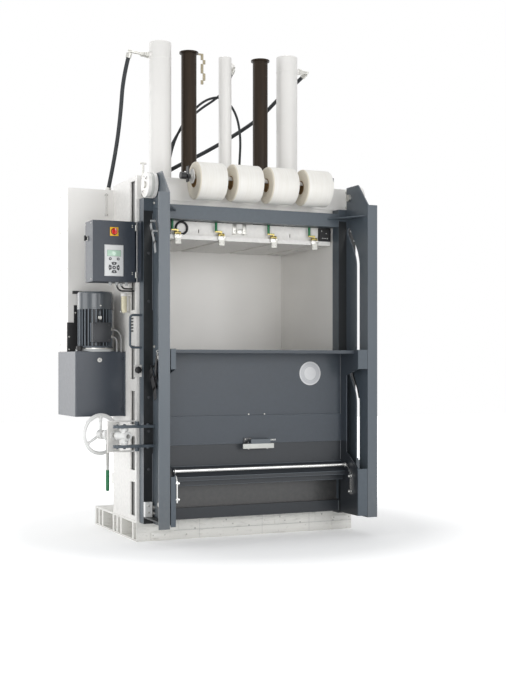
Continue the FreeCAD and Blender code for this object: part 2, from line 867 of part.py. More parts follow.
def clamp_lever(x):
    """The cam lever of a strap clamp, with its upright grip."""
    pivot_y, pivot_z = clamp_pivot()
    half = clamp_width / 2 - 5.5
    top = pivot_z + clamp_lever_length
    hub = rod(clamp_hub_radius, (x - half, pivot_y, pivot_z), (x + half, pivot_y, pivot_z))
    foot = top - clamp_grip_length
    grip_x = x - clamp_grip_shift
    stem = box(x - 6, x + 6, pivot_y - 4, pivot_y + 4, pivot_z, foot + 4)
    arm = box(grip_x - 6, x + 6, pivot_y - 4, pivot_y + 4, foot - 6, foot + 4)
    grip = rod(clamp_grip_radius, (grip_x, pivot_y, foot), (grip_x, pivot_y, top))
    lever = fuse([hub, stem, arm, grip])
    hole = rod(clamp_pivot_radius + running_gap, (x - half - 1, pivot_y, pivot_z),
               (x + half + 1, pivot_y, pivot_z))
    return lever.cut(hole)


# --- bale door ------------------------------------------------------------------------------------
def box_section(x, z):
    """A closed hollow bar of the door's thickness."""
    depth = (door_front, door_back)
    return box(*x, *depth, *z).cut(shrunk_box(x, depth, z, door_wall))


def door_frame():
    stile = box_section((-stile_outer, -opening_half), (door_bottom, stile_top))
    header = box_section((-opening_half, opening_half), (header_bottom, header_top))
    rail = box_section((-opening_half, opening_half), bottom_rail)
    gusset = level_plate([(-cheek_x, door_front), (-cheek_x + gusset_front_leg, door_front),
                          (-cheek_x, door_front - gusset_side_leg)],
                         gusset_height, gusset_height + gusset_thickness)
    foot = box(-stile_outer, -cheek_x - cheek_thickness, cheek_front + flange_thickness, door_front,
               foot_plate_height, foot_plate_height + foot_plate_thickness)
    return fuse([stile, mirrored(stile), header, rail, gusset, mirrored(gusset), foot, mirrored(foot)])


def door_panel():
    """The sheet that closes the lower door, stiffened by two level folds."""
    front = door_front + door_panel_setback
    sheet = box(-opening_half, opening_half, front, front + door_panel_thickness,
                bottom_rail[1], door_panel_top)
    folds = [box(-opening_half, opening_half, front + door_panel_thickness, door_back, z, z + 8)
             for z in (door_panel_top - 8, (bottom_rail[1] + door_panel_top) / 2)]
    return fuse([sheet] + folds)


def cheek_slot(lift):
    """The slot that guides a flap pin: straight up, round a bend, and slanting in to its end."""
    lean = math.atan((slot_end_depth - slot_depth) / (slot_end - slot_bend))
    tangent = slot_bend_radius * math.tan(lean / 2)
    half = slot_width / 2
    start = vector(cheek_x - 1, slot_depth, slot_bottom + lift)
    corner = vector(cheek_x - 1, slot_depth, slot_bend + lift)
    end = vector(cheek_x - 1, slot_end_depth, slot_end + lift)
    up = vector(0, 0, 1)
    slant = end - corner
    slant.normalize()
    through = vector(cheek_thickness + 2, 0, 0)

    def band(first, last):
        """A stadium-shaped tool from one point to another."""
        along = last - first
        along.normalize()
        across = along.cross(vector(1, 0, 0))
        corners = [first + across * half, last + across * half, last - across * half, first - across * half]
        strip = Part.Face(Part.makePolygon(corners + corners[:1])).extrude(through)
        ends = [Part.makeCylinder(half, through.Length, point, vector(1, 0, 0)) for point in (first, last)]
        return [strip] + ends

    first = corner - up * tangent
    last = corner + slant * tangent
    centre = first + vector(0, slot_bend_radius, 0)
    outer = slot_bend_radius + half
    inner = slot_bend_radius - half
    ring = Part.makeCylinder(outer, through.Length, centre, vector(1, 0, 0))
    ring = ring.cut(Part.makeCylinder(inner, through.Length, centre, vector(1, 0, 0)))
    wedge = outline([(centre.x, centre.y, centre.z),
                     (centre.x, centre.y - 2 * outer, centre.z),
                     (centre.x, centre.y - 2 * outer, centre.z + 2 * outer * math.tan(lean))])
    wedge = wedge.extrude(through)
    return band(start, first) + band(last, end) + [ring.common(wedge)]


def door_cheek():
    """The right cheek: an upright plate with two slots and a flange turned out along its front."""
    profile = [(door_front, door_bottom), (cheek_front, door_bottom), (cheek_front, stile_top),
               (cheek_top_depth, cheek_top), (door_front, cheek_top)]
    plate = side_plate(profile, cheek_x, cheek_x + cheek_thickness)
    flange = box(cheek_x + cheek_thickness, cheek_x + cheek_thickness + flange_width,
                 cheek_front, cheek_front + flange_thickness, door_bottom, stile_top)
    cheek = fuse([plate, flange])
    tools = cheek_slot(0) + cheek_slot(-slot_pitch)
    axle_hole = rod(drum_axle_radius, (cheek_x - 1, drum_depth, drum_height),
                    (cheek_x + cheek_thickness + 1, drum_depth, drum_height))
    return cut(cheek, tools + [axle_hole])


def drum_axle():
    """The right drum's axle, held in the cheek, with a head on the inner side."""
    inner = cheek_x - 14
    outer = cheek_x + cheek_thickness + drum_side_gap + drum_width + 10
    axle = rod(drum_axle_radius, (cheek_x, drum_depth, drum_height), (outer, drum_depth, drum_height))
    head = rod(drum_axle_radius + 8, (inner, drum_depth, drum_height), (cheek_x, drum_depth, drum_height))
    spacer = rod(drum_axle_radius + 8, (cheek_x + cheek_thickness, drum_depth, drum_height),
                 (cheek_x + cheek_thickness + drum_side_gap - hinge_gap, drum_depth, drum_height))
    end = rod(drum_axle_radius + 6, (outer - 9.5, drum_depth, drum_height), (outer, drum_depth, drum_height))
    return fuse([axle, head, spacer, end])


def balancer_drum():
    """The right drum, with a shallow groove round it and two bolts on its end face."""
    start = cheek_x + cheek_thickness + drum_side_gap
    end = start + drum_width
    drum = rod(drum_radius, (start, drum_depth, drum_height), (end, drum_depth, drum_height))
    groove = tube(drum_radius + 1, drum_radius - 5, (start + 20, drum_depth, drum_height),
                  (end - 20, drum_depth, drum_height))
    bore = rod(drum_axle_radius + running_gap, (start - 1, drum_depth, drum_height),
               (end + 1, drum_depth, drum_height))
    bolts = []
    for shift, rise in ((-30, 32), (26, -38)):
        y, z = drum_depth + shift, drum_height + rise
        bolts.append(rod(9, (end, y, z), (end + 7, y, z)))
    return cut(fuse([drum.cut(groove)] + bolts), [bore])


def door_handle():
    """The bent round bar on the left stile's outer edge."""
    low, high = handle_span
    bend = handle_radius * 3
    inner = -stile_outer
    outer = -stile_outer - handle_reach
    y = hinge_depth
    points = [vector(inner, y, low), vector(outer + bend, y, low), vector(outer, y, low + bend),
              vector(outer, y, high - bend), vector(outer + bend, y, high), vector(inner, y, high)]
    reach = bend * math.sqrt(0.5)
    first_middle = vector(outer + bend - reach, y, low + bend - reach)
    second_middle = vector(outer + bend - reach, y, high - bend + reach)
    path = Part.Wire([Part.LineSegment(points[0], points[1]).toShape(),
                      Part.Arc(points[1], first_middle, points[2]).toShape(),
                      Part.LineSegment(points[2], points[3]).toShape(),
                      Part.Arc(points[3], second_middle, points[4]).toShape(),
                      Part.LineSegment(points[4], points[5]).toShape()])
    section = Part.Wire(Part.makeCircle(handle_radius, points[0], vector(-1, 0, 0)))
    return path.makePipeShell([section], True, False)


def hinge_stack(level):
    """Heights of the lower and upper halves of one hinge's knuckles."""
    return level, level + hinge_knuckle_height, level + hinge_knuckle_height + hinge_gap, \
        level + 2 * hinge_knuckle_height + hinge_gap


def frame_hinges():
    """Lower knuckles with their pins, on plates bolted to the right column."""
    hinges = []
    for level in hinge_heights:
        low, high, leaf_low, leaf_high = hinge_stack(level)
        foot = (hinge_axis_x, hinge_depth, low)
        knuckle = rod(hinge_knuckle_radius, foot, (hinge_axis_x, hinge_depth, high))
        pin = rod(hinge_pin_radius, foot, (hinge_axis_x, hinge_depth, leaf_high + 12))
        arm = box(body_half, body_half + hinge_plate, hinge_depth, hinge_arm_end, low, high)
        outer, middle = body_half + hinge_plate, (low + high) / 2
        heads = [hex_head(hinge_bolt_across, hinge_bolt_height, (outer, y, middle), (1, 0, 0))
                 for y in hinge_bolt_depths]
        hinges.append(fuse([knuckle, pin, arm] + heads))
    return hinges


def door_hinges():
    """Upper knuckles, welded to the right stile."""
    hinges = []
    for level in hinge_heights:
        low, high, leaf_low, leaf_high = hinge_stack(level)
        knuckle = rod(hinge_knuckle_radius, (hinge_axis_x, hinge_depth, leaf_low),
                      (hinge_axis_x, hinge_depth, leaf_high))
        arm = box(stile_outer, hinge_axis_x, hinge_depth - hinge_knuckle_radius, hinge_depth, leaf_low,
                  leaf_high)
        hole = rod(hinge_pin_radius + running_gap, (hinge_axis_x, hinge_depth, leaf_low - 1),
                   (hinge_axis_x, hinge_depth, leaf_high + 1))
        hinges.append(fuse([knuckle, arm]).cut(hole))
    return hinges


# --- loading flap ---------------------------------------------------------------------------------
def flap_section():
    """The flap sheet's section: down from the top flange, in a fold, and out over the lower lip."""
    face, sheet = flap_face, flap_sheet
    return [(flap_flange_depth, flap_top), (face + sheet, flap_top), (face + sheet, flap_fold - 4),
            (flap_slant_depth + sheet, flap_slant_bottom - 2), (flap_slant_depth + sheet, flap_lip_bottom),
            (flap_slant_depth, flap_lip_bottom), (flap_slant_depth, flap_slant_bottom),
            (face, flap_fold), (face, flap_top - sheet), (flap_flange_depth + sheet, flap_top - sheet),
            (flap_flange_depth + sheet, flap_top - flap_flange_height),
            (flap_flange_depth, flap_top - flap_flange_height)]


def flap():
    left = flap_left_edge()
    sheet = side_plate(flap_section(), left, flap_half)
    band = box(left, flap_half, flap_face - flap_band_rise, flap_face, *flap_band)
    lower_rail = box(left, flap_half, flap_face - 24, flap_face + 16, *flap_lower_rail)
    left_arm = mirrored(flap_arm(-left, left_flange_width))
    return fuse([sheet, band, lower_rail, flap_arm(flap_half, arm_flange_width), left_arm])


def flap_left_edge():
    return -flap_half - flap_left_reach


def flap_arm(inner, flange):
    """The right end plate, with its top arm, its lower leg and a flange turned out along their front."""
    outer = inner + flap_sheet
    back = flap_face + flap_sheet
    arm_low, arm_high = arm_top
    leg_low, leg_high = arm_leg
    waist = flap_slant_depth - 14
    profile = [(back, leg_low), (cheek_front, leg_low), (cheek_front, leg_high), (waist, arm_gusset_top),
               (waist, arm_low - 40), (cheek_front, arm_low), (cheek_front, arm_high), (back, arm_high)]
    plate = side_plate(profile, inner, outer)
    flanges = [box(outer, outer + flange, cheek_front, cheek_front + flange_thickness, low, high)
               for low, high in (arm_top, arm_leg)]
    return fuse([plate] + flanges)


def guide_pins():
    """Pins that carry the flap in the cheeks' slots, each with a washer inside and a head outside."""
    return guide_pin_pair(flap_half) + [mirrored(pin) for pin in guide_pin_pair(-flap_left_edge())]


def guide_pin_pair(plate):
    """The upper and lower pin of the right side."""
    pins = []
    start = plate + flap_sheet
    for lift in (0, -slot_pitch):
        z = flap_pin_height + lift
        outer = cheek_x + cheek_thickness
        shank = rod(flap_pin_radius, (start, slot_depth, z), (outer + 4, slot_depth, z))
        head = rod(flap_pin_washer, (outer + 3, slot_depth, z), (outer + 10, slot_depth, z))
        bolt = rod(12, (outer + 10, slot_depth, z), (outer + 20, slot_depth, z))
        pins.append(fuse([shank, head, bolt]))
    return pins


def flap_handle():
    """A flat grip bar on a bent bracket, in the middle of the raised band."""
    face = flap_face - flap_band_rise
    half = grip_length / 2
    low, high = grip_centre - grip_height / 2, grip_centre + grip_height / 2
    grip = box(-half, half, face - 46, face - 38, low, high)
    legs = [box(side * half - 8 * (side > 0), side * half + 8 * (side < 0), face - 38, face, low, high)
            for side in (-1, 1)]
    return fuse([grip] + legs)


def guard_rail():
    """The round rail in front of the flap's lower edge, on a curved flat arm at each end."""
    end = flap_half - 2 - rail_arm_thickness
    rail = rod(rail_radius, (-end, rail_depth, rail_height), (end, rail_depth, rail_height))
    half = rail_arm_width / 2
    top_z, low_z = rail_height, rail_bolt_heights[0]
    inner, outer = end, end + rail_arm_thickness
    straight = box(inner, outer, rail_arm_depth - half, rail_arm_depth + half, rail_arm_foot, low_z)
    rise = top_z - low_z
    run = rail_depth - rail_arm_depth
    curve = [(rail_arm_depth + run * (n / 6) ** 2, low_z + rise * n / 6) for n in range(7)]
    sides = [(y - half, z) for y, z in curve] + [(y + half, z) for y, z in reversed(curve)]
    bow = side_plate(sides, inner, outer)
    eye = rod(half, (inner, rail_depth, top_z), (outer, rail_depth, top_z))
    arm = fuse([straight, bow, eye])
    bolts = [rail_bolts(inner, flap_half), mirrored(rail_bolts(inner, -flap_left_edge()))]
    return fuse([rail, arm, mirrored(arm)] + bolts)


def rail_bolts(inner, plate):
    """The spacer bolts that hold the rail's right arm, with round heads."""
    bolts = []
    for z in rail_bolt_heights:
        bolts.append(rod(6, (inner - 4, rail_arm_depth, z), (plate, rail_arm_depth, z)))
        bolts.append(rod(11, (inner - 10, rail_arm_depth, z), (inner, rail_arm_depth, z)))
        bolts.append(rod(10, (plate - 6, rail_arm_depth, z), (plate, rail_arm_depth, z)))
    return fuse(bolts)


# --- door lock ------------------------------------------------------------------------------------
lock_cos = math.cos(math.radians(lock_angle))
lock_sin = math.sin(math.radians(lock_angle))


def on_spindle(distance):
    """A point on the spindle's axis, measured forwards from the nut block's upright axis."""
    return (lock_x + distance * lock_cos, lock_depth + distance * lock_sin, lock_height)


def spindle_bar(radius, start, end):
    return rod(radius, on_spindle(start), on_spindle(end))


def lock_arms():
    """Two flat arms bolted to the left stile, which carry the nut block between them."""
    arms = []
    half = lock_arm_width / 2
    inner = -cheek_x - cheek_thickness
    for level, side in zip(lock_arm_heights, (-1, 1)):
        low, high = level - lock_arm_thickness / 2, level + lock_arm_thickness / 2
        arm = box(-lock_arm_end + half, inner, lock_depth - half, lock_depth + half, low, high)
        end = Part.makeCylinder(half, lock_arm_thickness, vector(-lock_arm_end + half, lock_depth, low))
        knob = rod(lock_knob_radius, (lock_knob_x, lock_depth, level),
                   (lock_knob_x, lock_depth, level + side * (lock_arm_thickness / 2 + lock_knob_height)))
        arms.append(fuse([arm, end, knob]))
    stile = box(-stile_outer, -opening_half, door_front, door_back, door_bottom, stile_top)
    return [arm.cut(stile) for arm in arms]


def lock_block():
    """The nut block: an upright barrel between the arms, bored for the spindle."""
    low = lock_arm_heights[0] + lock_arm_thickness / 2
    high = lock_arm_heights[1] - lock_arm_thickness / 2
    barrel = rod(lock_block_radius - 6, (lock_x, lock_depth, low), (lock_x, lock_depth, high))
    nut = spindle_bar(lock_block_radius, -nut_front, nut_rear)
    return fuse([barrel, nut]).cut(spindle_bar(spindle_radius + running_gap, -nut_front - 5, nut_rear + 5))


def lock_spindle():
    """The screw, whose tip waits behind the nut block until the wheel drives it forwards."""
    return spindle_bar(spindle_radius, -wheel_distance, -nut_front - nut_gap)


def lock_housing():
    """The ratchet housing, a flanged sleeve that slides in the bracket's end plate."""
    start = -lever_distance + lever_collar / 2 + 0.5
    end = -lever_distance + lever_collar / 2 + housing_length
    sleeve = spindle_bar(housing_radius, start, end)
    flange = spindle_bar(housing_flange[0], start, start + housing_flange[1])
    return fuse([sleeve, flange]).cut(spindle_bar(spindle_radius + running_gap, start - 5, end + 5))


def handwheel():
    """A rim on three spokes and a hub, square to the spindle."""
    centre = vector(*on_spindle(-wheel_distance))
    direction = vector(lock_cos, lock_sin, 0)
    mean = wheel_radius - wheel_rim_radius
    across = vector(-lock_sin, lock_cos, 0)
    section = Part.Wire(Part.makeCircle(wheel_rim_radius, centre - vector(0, 0, mean), across))
    rim = Part.Face(section).revolve(centre, direction, 360)
    hub = Part.makeCylinder(wheel_hub_radius, wheel_hub_length,
                            centre - direction * wheel_hub_length / 4, direction)
    spokes = []
    for n in range(3):
        angle = math.radians(90 + 120 * n)
        out = across * math.cos(angle) + vector(0, 0, math.sin(angle))
        root = wheel_hub_radius - 7
        spokes.append(Part.makeCylinder(wheel_spoke_radius, mean - root, centre + out * root, out))
    wheel = fuse([rim, hub] + spokes)
    return wheel.cut(spindle_bar(spindle_radius, -wheel_distance, 0))


def ratchet_lever():
    """The lever that hangs from the housing, with a grip on its lower end."""
    start, end = -lever_distance - lever_collar / 2, -lever_distance + lever_collar / 2
    collar = spindle_bar(28, start, end)
    centre = vector(*on_spindle(-lever_distance))
    stem = Part.makeCone(11, 8, lever_drop - lever_grip_length, centre, vector(0, 0, -1))
    grip = Part.makeCylinder(11, lever_grip_length, centre - vector(0, 0, lever_drop - lever_grip_length),
                             vector(0, 0, -1))
    tip = Part.makeSphere(11, centre - vector(0, 0, lever_drop))
    lever = fuse([collar, stem, grip, tip])
    return lever.cut(spindle_bar(spindle_radius + running_gap, start - 5, end + 5))


def door_switch():
    """A folded plate on the left stile's outer edge, with a round black knob."""
    x0, x1 = -stile_outer - switch_plate_width, -stile_outer
    low, high = switch_plate_heights
    plate = box(x0, x1, hinge_depth - 2, hinge_depth + 2, low, high)
    fold = box(x1 - 4, x1, hinge_depth - 2, hinge_depth + 26, low, high)
    x, z = (x0 + x1) / 2, (low + high) / 2 + 6
    button = rod(switch_button_radius, (x, hinge_depth - 16, z), (x, hinge_depth - 2, z))
    return fuse([plate, fold, button])


def foot_bracket():
    """A block on the left foot plate, and the two ring bolts that reach from it to the cheek."""
    width, depth, height = foot_block
    low = foot_plate_height + foot_plate_thickness
    block = box(-stile_outer, -stile_outer + width, door_front - depth, door_front, low, low + height)
    pieces = [block]
    y = door_front - depth / 2
    right = -cheek_x - cheek_thickness
    for z in (low + ring_radius + 4, low + 3 * ring_radius + 14):
        pieces.append(rod(ring_bolt_radius, (-stile_outer + width, y, z), (right, y, z)))
    for z in (low + ring_radius + 4, low + 3 * ring_radius + 14):
        pieces.append(rod(ring_radius, (right - 12, y, z), (right, y, z)))
    return fuse(pieces)


def lock_bracket():
    """The bracket beside the left column: two shelves, and the end plate that the housing slides in."""
    front = -lever_distance + lever_collar / 2 + housing_flange[1] + spindle_travel + 2
    back_centre = vector(*on_spindle(front))
    direction = vector(lock_cos, lock_sin, 0)
    across = vector(-lock_sin, lock_cos, 0) * (bracket_width / 2)
    low, high = bracket_heights[0] - bracket_shelf / 2, bracket_heights[1] + bracket_shelf / 2
    drop = vector(0, 0, lock_height - low)
    corners = [back_centre + across - drop, back_centre - across - drop]
    foot = Part.makeLine(*corners)
    plate = foot.extrude(direction * bracket_plate).extrude(vector(0, 0, high - low))
    bore = spindle_bar(housing_radius + slide_gap, front - 1, front + bracket_plate + 1)
    near, far = corners[0] + direction * bracket_plate, corners[1] + direction * bracket_plate
    shelves = []
    for level in bracket_heights:
        points = [(near.x, near.y), (far.x, far.y), (-body_half, 0), (-body_half, bracket_depth)]
        shelves.append(level_plate(points, level - bracket_shelf / 2, level + bracket_shelf / 2))
    return [plate.cut(bore)] + shelves



# --- strap rolls ----------------------------------------------------------------------------------
def strap_roll(start):
    """Wound strap on a card core, as one solid."""
    left, right = (start, roll_depth, roll_height), (start + roll_width, roll_depth, roll_height)
    return tube(roll_radius, core_radius - core_wall, left, right)


def roll_starts():
    return [roll_first_x + n * roll_pitch for n in range(roll_count)]


def axle_height():
    return roll_height + core_radius - core_wall - roll_axle_radius - seat_gap


def roll_arm_centres():
    gap = roll_pitch - roll_width
    return [roll_first_x - 10] + [start + roll_width + gap / 2 for start in roll_starts()[:-1]] \
        + [roll_starts()[-1] + roll_width + 10]


def roll_holder():
    """A rail on the crosshead with an arm beside each roll, and the axle that the rolls hang on."""
    centres = roll_arm_centres()
    half = holder_plate / 2
    rail = box(centres[0] - half, centres[-1] + half, -fascia_thickness, 0, head_top, holder_rail_top)
    foot = box(centres[0] - half, centres[-1] + half, 0, holder_foot_depth,
               head_top, head_top + holder_plate)
    z = axle_height()
    arms = []
    for x in centres:
        profile = [(-fascia_thickness, head_top), (roll_depth, z - 22), (roll_depth - 20, z),
                   (roll_depth, z + 22), (-fascia_thickness, holder_rail_top)]
        arms.append(side_plate(profile, x - half, x + half))
    holes = [rod(roll_axle_radius, (x - half - 1, roll_depth, z), (x + half + 1, roll_depth, z))
             for x in centres]
    disc = rod(holder_disc_radius, (centres[0] - half, roll_depth, z), (centres[0] + half, roll_depth, z))
    holder = fuse([rail, foot, disc] + arms).cut(holes)
    axle = rod(roll_axle_radius, (centres[0] - 50, roll_depth, z), (centres[-1] + 20, roll_depth, z))
    hook = rod(roll_axle_radius, (centres[-1] + 20, roll_depth, z), (centres[-1] + 20, roll_depth, z + 48))
    knob = rod(21, (centres[0] - 76, roll_depth, z), (centres[0] - 40, roll_depth, z))
    bend = Part.makeSphere(roll_axle_radius, vector(centres[-1] + 20, roll_depth, z))
    return [holder, fuse([axle, hook, knob, bend])]


# --- power pack -----------------------------------------------------------------------------------
def tank():
    body = box(*tank_x, *tank_y, *tank_z)
    body = body.makeFillet(10, [edge for edge in body.Edges
                                if abs(edge.BoundBox.ZLength - (tank_z[1] - tank_z[0])) < 0.01
                                and edge.BoundBox.XMax < tank_x[1] - 1])
    body = body.cut(shrunk_box(tank_x, tank_y, tank_z, tank_wall))
    flange = box(tank_x[1] - 10, tank_x[1], tank_y[0] - 26, tank_y[0], tank_z[0], tank_z[1])
    bolts = [rod(9, (tank_x[1] - 18, tank_y[0] - 13, z), (tank_x[1] - 10, tank_y[0] - 13, z))
             for z in (tank_z[0] + 46, tank_z[1] - 41)]
    lock_x_place = tank_x[1] - tank_lock_offset
    lock = rod(tank_lock_radius, (lock_x_place, tank_y[0] - 4, tank_lock_height),
               (lock_x_place, tank_y[0], tank_lock_height))
    return fuse([body, flange, lock] + bolts)


def cap_and_filter():
    """The filler cap on the tank, and the small filter on a bracket beside the column's slots."""
    cap_x, cap_y = tank_x[0] + 34, tank_y[0] + 34
    neck = rod(14, (cap_x, cap_y, tank_z[1]), (cap_x, cap_y, tank_z[1] + 10))
    cap = rod(20, (cap_x, cap_y, tank_z[1] + 10), (cap_x, cap_y, tank_z[1] + 34))
    x, y = -body_half - filter_radius - 20, filter_depth
    low, high = filter_heights
    bowl = rod(filter_radius, (x, y, low), (x, y, high))
    head = rod(filter_radius + 4, (x, y, high), (x, y, high + 20))
    bracket = box(x, -body_half, y - 10, y + 10, high + 4, high + 16)
    return [fuse([neck, cap]), fuse([bowl, head, bracket])]


def motor_body():
    """Foot flange, finned barrel and the terminal box on its front."""
    low = tank_z[1]
    flange = rod(motor_radius + 4, (motor_x, motor_y, low), (motor_x, motor_y, low + motor_flange_height))
    core = rod(motor_core_radius, (motor_x, motor_y, low), (motor_x, motor_y, motor_body_top))
    fins = []
    for n in range(motor_fins):
        angle = 360.0 * n / motor_fins
        fin = box(motor_x + motor_core_radius - 6, motor_x + motor_radius - 3, motor_y - 2.5, motor_y + 2.5,
                  low + motor_flange_height + 14, motor_body_top)
        fin.rotate(vector(motor_x, motor_y, 0), vector(0, 0, 1), angle)
        fins.append(fin)
    half = terminal_box_width / 2
    terminal = box(motor_x - half, motor_x + half, terminal_box_front, motor_y - motor_core_radius + 30,
                   *terminal_box_z)
    shaft = rod(motor_shaft_radius, (motor_x, motor_y, motor_body_top),
                (motor_x, motor_y, motor_cowl_top - 24))
    x0 = motor_x + terminal_box_width / 2
    glands = [rod(gland_radius, (x0, conduit_depth(), z), (x0 + gland_length, conduit_depth(), z))
              for z in conduit_heights]
    return [fuse([flange, core, terminal, shaft] + fins + glands)] + conduits(x0 + gland_length)


def conduit_depth():
    return terminal_box_front + 40


def conduits(start):
    """Two bent metal conduits from the terminal box's glands down to the tank's top."""
    pieces = []
    y = conduit_depth()
    for level, bend in zip(conduit_heights, conduit_bends):
        reach = bend * math.sqrt(0.5)
        corner = vector(start + bend, y, level - bend)
        arc = Part.Arc(vector(start, y, level), vector(start + reach, y, level - bend + reach), corner)
        drop = Part.LineSegment(corner, vector(start + bend, y, tank_z[1]))
        section = Part.Wire(Part.makeCircle(conduit_radius, vector(start, y, level), vector(1, 0, 0)))
        pieces.append(Part.Wire([arc.toShape(), drop.toShape()]).makePipeShell([section], True, False))
    return pieces


def motor_cowl():
    """The fan's cover, open below, with rings of slits on top."""
    low = motor_body_top + 0.3
    shell = rod(motor_radius, (motor_x, motor_y, low), (motor_x, motor_y, motor_cowl_top))
    rim = [edge for edge in shell.Edges
           if abs(edge.BoundBox.ZMin - motor_cowl_top) < 0.1 and edge.BoundBox.ZLength < 0.1]
    shell = shell.makeFillet(14, rim)
    hollow = rod(motor_radius - 4, (motor_x, motor_y, low - 1), (motor_x, motor_y, motor_cowl_top - 6))
    slits = []
    for n in range(12):
        slit = box(motor_x + 22, motor_x + 88, motor_y - 5, motor_y + 5,
                   motor_cowl_top - 10, motor_cowl_top + 1)
        slit.rotate(vector(motor_x, motor_y, 0), vector(0, 0, 1), 30.0 * n + 15)
        slits.append(slit)
    return cut(shell, [hollow] + slits)


def motor_fan():
    low = motor_body_top + 26
    high = motor_cowl_top - 28
    hub = rod(26, (motor_x, motor_y, low), (motor_x, motor_y, high))
    disc = rod(fan_radius, (motor_x, motor_y, low), (motor_x, motor_y, low + 5))
    blades = []
    for n in range(fan_blades):
        blade = box(motor_x + 20, motor_x + fan_radius - 2, motor_y - 2, motor_y + 2, low, high - 6)
        blade.rotate(vector(motor_x, motor_y, 0), vector(0, 0, 1), 360.0 * n / fan_blades)
        blades.append(blade)
    bore = rod(motor_shaft_radius + running_gap, (motor_x, motor_y, low - 1), (motor_x, motor_y, high + 1))
    return fuse([hub, disc] + blades).cut(bore)


def side_cabinet():
    room = shrunk_box(cabinet_x, cabinet_y, cabinet_z, cabinet_wall)
    return box(*cabinet_x, *cabinet_y, *cabinet_z).cut(room)


def back_plate():
    """The stepped dark plate behind the motor."""
    left, right = tank_x[0] + back_plate_sides[0], tank_x[1] - back_plate_sides[1]
    low = tank_z[1]
    first, second, top = [low + height for height in back_plate_heights]
    inner, outer = [left + step for step in back_plate_steps]
    profile = [(left, low), (right, low), (right, top), (outer, top), (outer, second), (inner, second),
               (inner, first), (left, first)]
    return front_plate(profile, cabinet_y[0] - back_plate_thickness, cabinet_y[0])


# --- controls -------------------------------------------------------------------------------------
def box_hinge(level, side, back):
    """The lower knuckle of one of the control box's hinges, with its leaf along the column."""
    y = box_hinge_y()
    high = level + box_knuckle_height
    return [rod(box_knuckle_radius, (box_hinge_x, y, level), (box_hinge_x, y, high)),
            box(side - box_leaf, side, y, back, level, high),
            box(box_hinge_x, side, y, y + box_leaf, level, high)]


def box_hinge_y():
    return -box_knuckle_radius + 0.5


def control_box():
    """An open-fronted sheet housing on two mounts beside the left column, with its hinge halves."""
    front = box_door_depth + box_door_gap
    shell = box(*box_x, front, box_depth, *box_z)
    inside = box(box_x[0] + box_wall, box_x[1] - box_wall, front - 1, box_depth - box_wall,
                 box_z[0] + box_wall, box_z[1] - box_wall)
    mounts = [box(box_x[1], -body_half, box_mount_front, box_depth - 10, z, z + box_mount_height)
              for z in (box_z[0] + 30, box_z[1] - 30 - box_mount_height)]
    hinges = []
    for level in box_hinge_heights:
        pin = rod(box_pin_radius, (box_hinge_x, box_hinge_y(), level),
                  (box_hinge_x, box_hinge_y(), level + 2 * box_knuckle_height))
        hinges.append(fuse(box_hinge(level, -body_half, 30) + [pin]))
    return [fuse([shell.cut(inside)] + mounts)] + hinges + box_leads() + [box_screen()]


def box_screen():
    """The angle plate on the column's front, which stands forward beside the control box."""
    x = -body_half + screen_setback
    leaf = box(x, x + screen_thickness, -screen_reach, 0, *box_z)
    flange = box(x, x + screen_flange, -screen_thickness, 0, *box_z)
    return fuse([leaf, flange])


def box_leads():
    """Two stiff leads that drop from the box's floor and bend across to the column."""
    leads = []
    for offset, y, drop, bend in zip(lead_offsets, lead_depths, lead_drops, lead_bends):
        x, top = box_x[1] - offset, box_z[0]
        level = top - drop - bend
        reach = bend * (1 - math.sqrt(0.5))
        down, across = vector(x, y, top - drop), vector(x + bend, y, level)
        path = Part.Wire([Part.LineSegment(vector(x, y, top), down).toShape(),
                          Part.Arc(down, vector(x + reach, y, level + reach), across).toShape(),
                          Part.LineSegment(across, vector(-body_half, y, level)).toShape()])
        section = Part.Wire(Part.makeCircle(lead_radius, vector(x, y, top), vector(0, 0, -1)))
        leads.append(path.makePipeShell([section], True, False))
    return leads


def control_gear():
    """The mounting plate with its rails and switch gear."""
    back = box_depth - box_wall
    plate = box(box_x[0] + 20, box_x[1] - 20, back - 4, back, box_z[0] + 20, box_z[1] - 20)
    rails = []
    units = []
    for level in [box_z[0] + height for height in gear_levels]:
        rails.append(box(box_x[0] + 30, box_x[1] - 30, back - 12, back - 4, level, level + 35))
        for n in range(4):
            x = box_x[0] + 36 + n * 48
            units.append(box(x, x + 42, back - 12 - gear_depth, back - 12, level - 24, level + 58))
    return fuse([plate] + rails + units)


def control_door():
    """The shallow folded door of the control box, with its hinge halves on the right edge."""
    pan = box(*box_x, 0, box_door_depth, *box_z)
    inside = box(box_x[0] + box_wall, box_x[1] - box_wall, box_wall, box_door_depth + 1,
                 box_z[0] + box_wall, box_z[1] - box_wall)
    pieces = [pan.cut(inside)]
    bores = []
    for level in box_hinge_heights:
        low = level + box_knuckle_height + 0.5
        high = low + box_knuckle_height
        y = box_hinge_y()
        pieces.append(rod(box_knuckle_radius, (box_hinge_x, y, low), (box_hinge_x, y, high)))
        pieces.append(box(box_x[1], box_hinge_x, y, y + box_leaf, low, high))
        pieces.append(box(box_x[1], box_x[1] + box_leaf, y, box_door_depth - 4, low, high))
        bores.append(rod(box_pin_radius + running_gap, (box_hinge_x, y, low - 1),
                         (box_hinge_x, y, high + 1)))
    return cut(fuse(pieces), bores)


def panel_plates():
    """The keypad with its keys and the main switch's square plate."""
    half = keypad_width / 2
    low, high = keypad_z
    pad = box(keypad_x - half, keypad_x + half, -4, 0, low, high)
    keys = [rod(11, (keypad_x + dx, -7, low + dz), (keypad_x + dx, -4, low + dz))
            for dx, dz in ((-26, 104), (26, 104), (0, 68), (-30, 42), (0, 42), (30, 42), (0, 16))]
    half = switch_plate / 2
    plate = box(switch_x - half, switch_x + half, -5, 0, switch_z - half, switch_z + half)
    return [fuse([pad] + keys), plate]


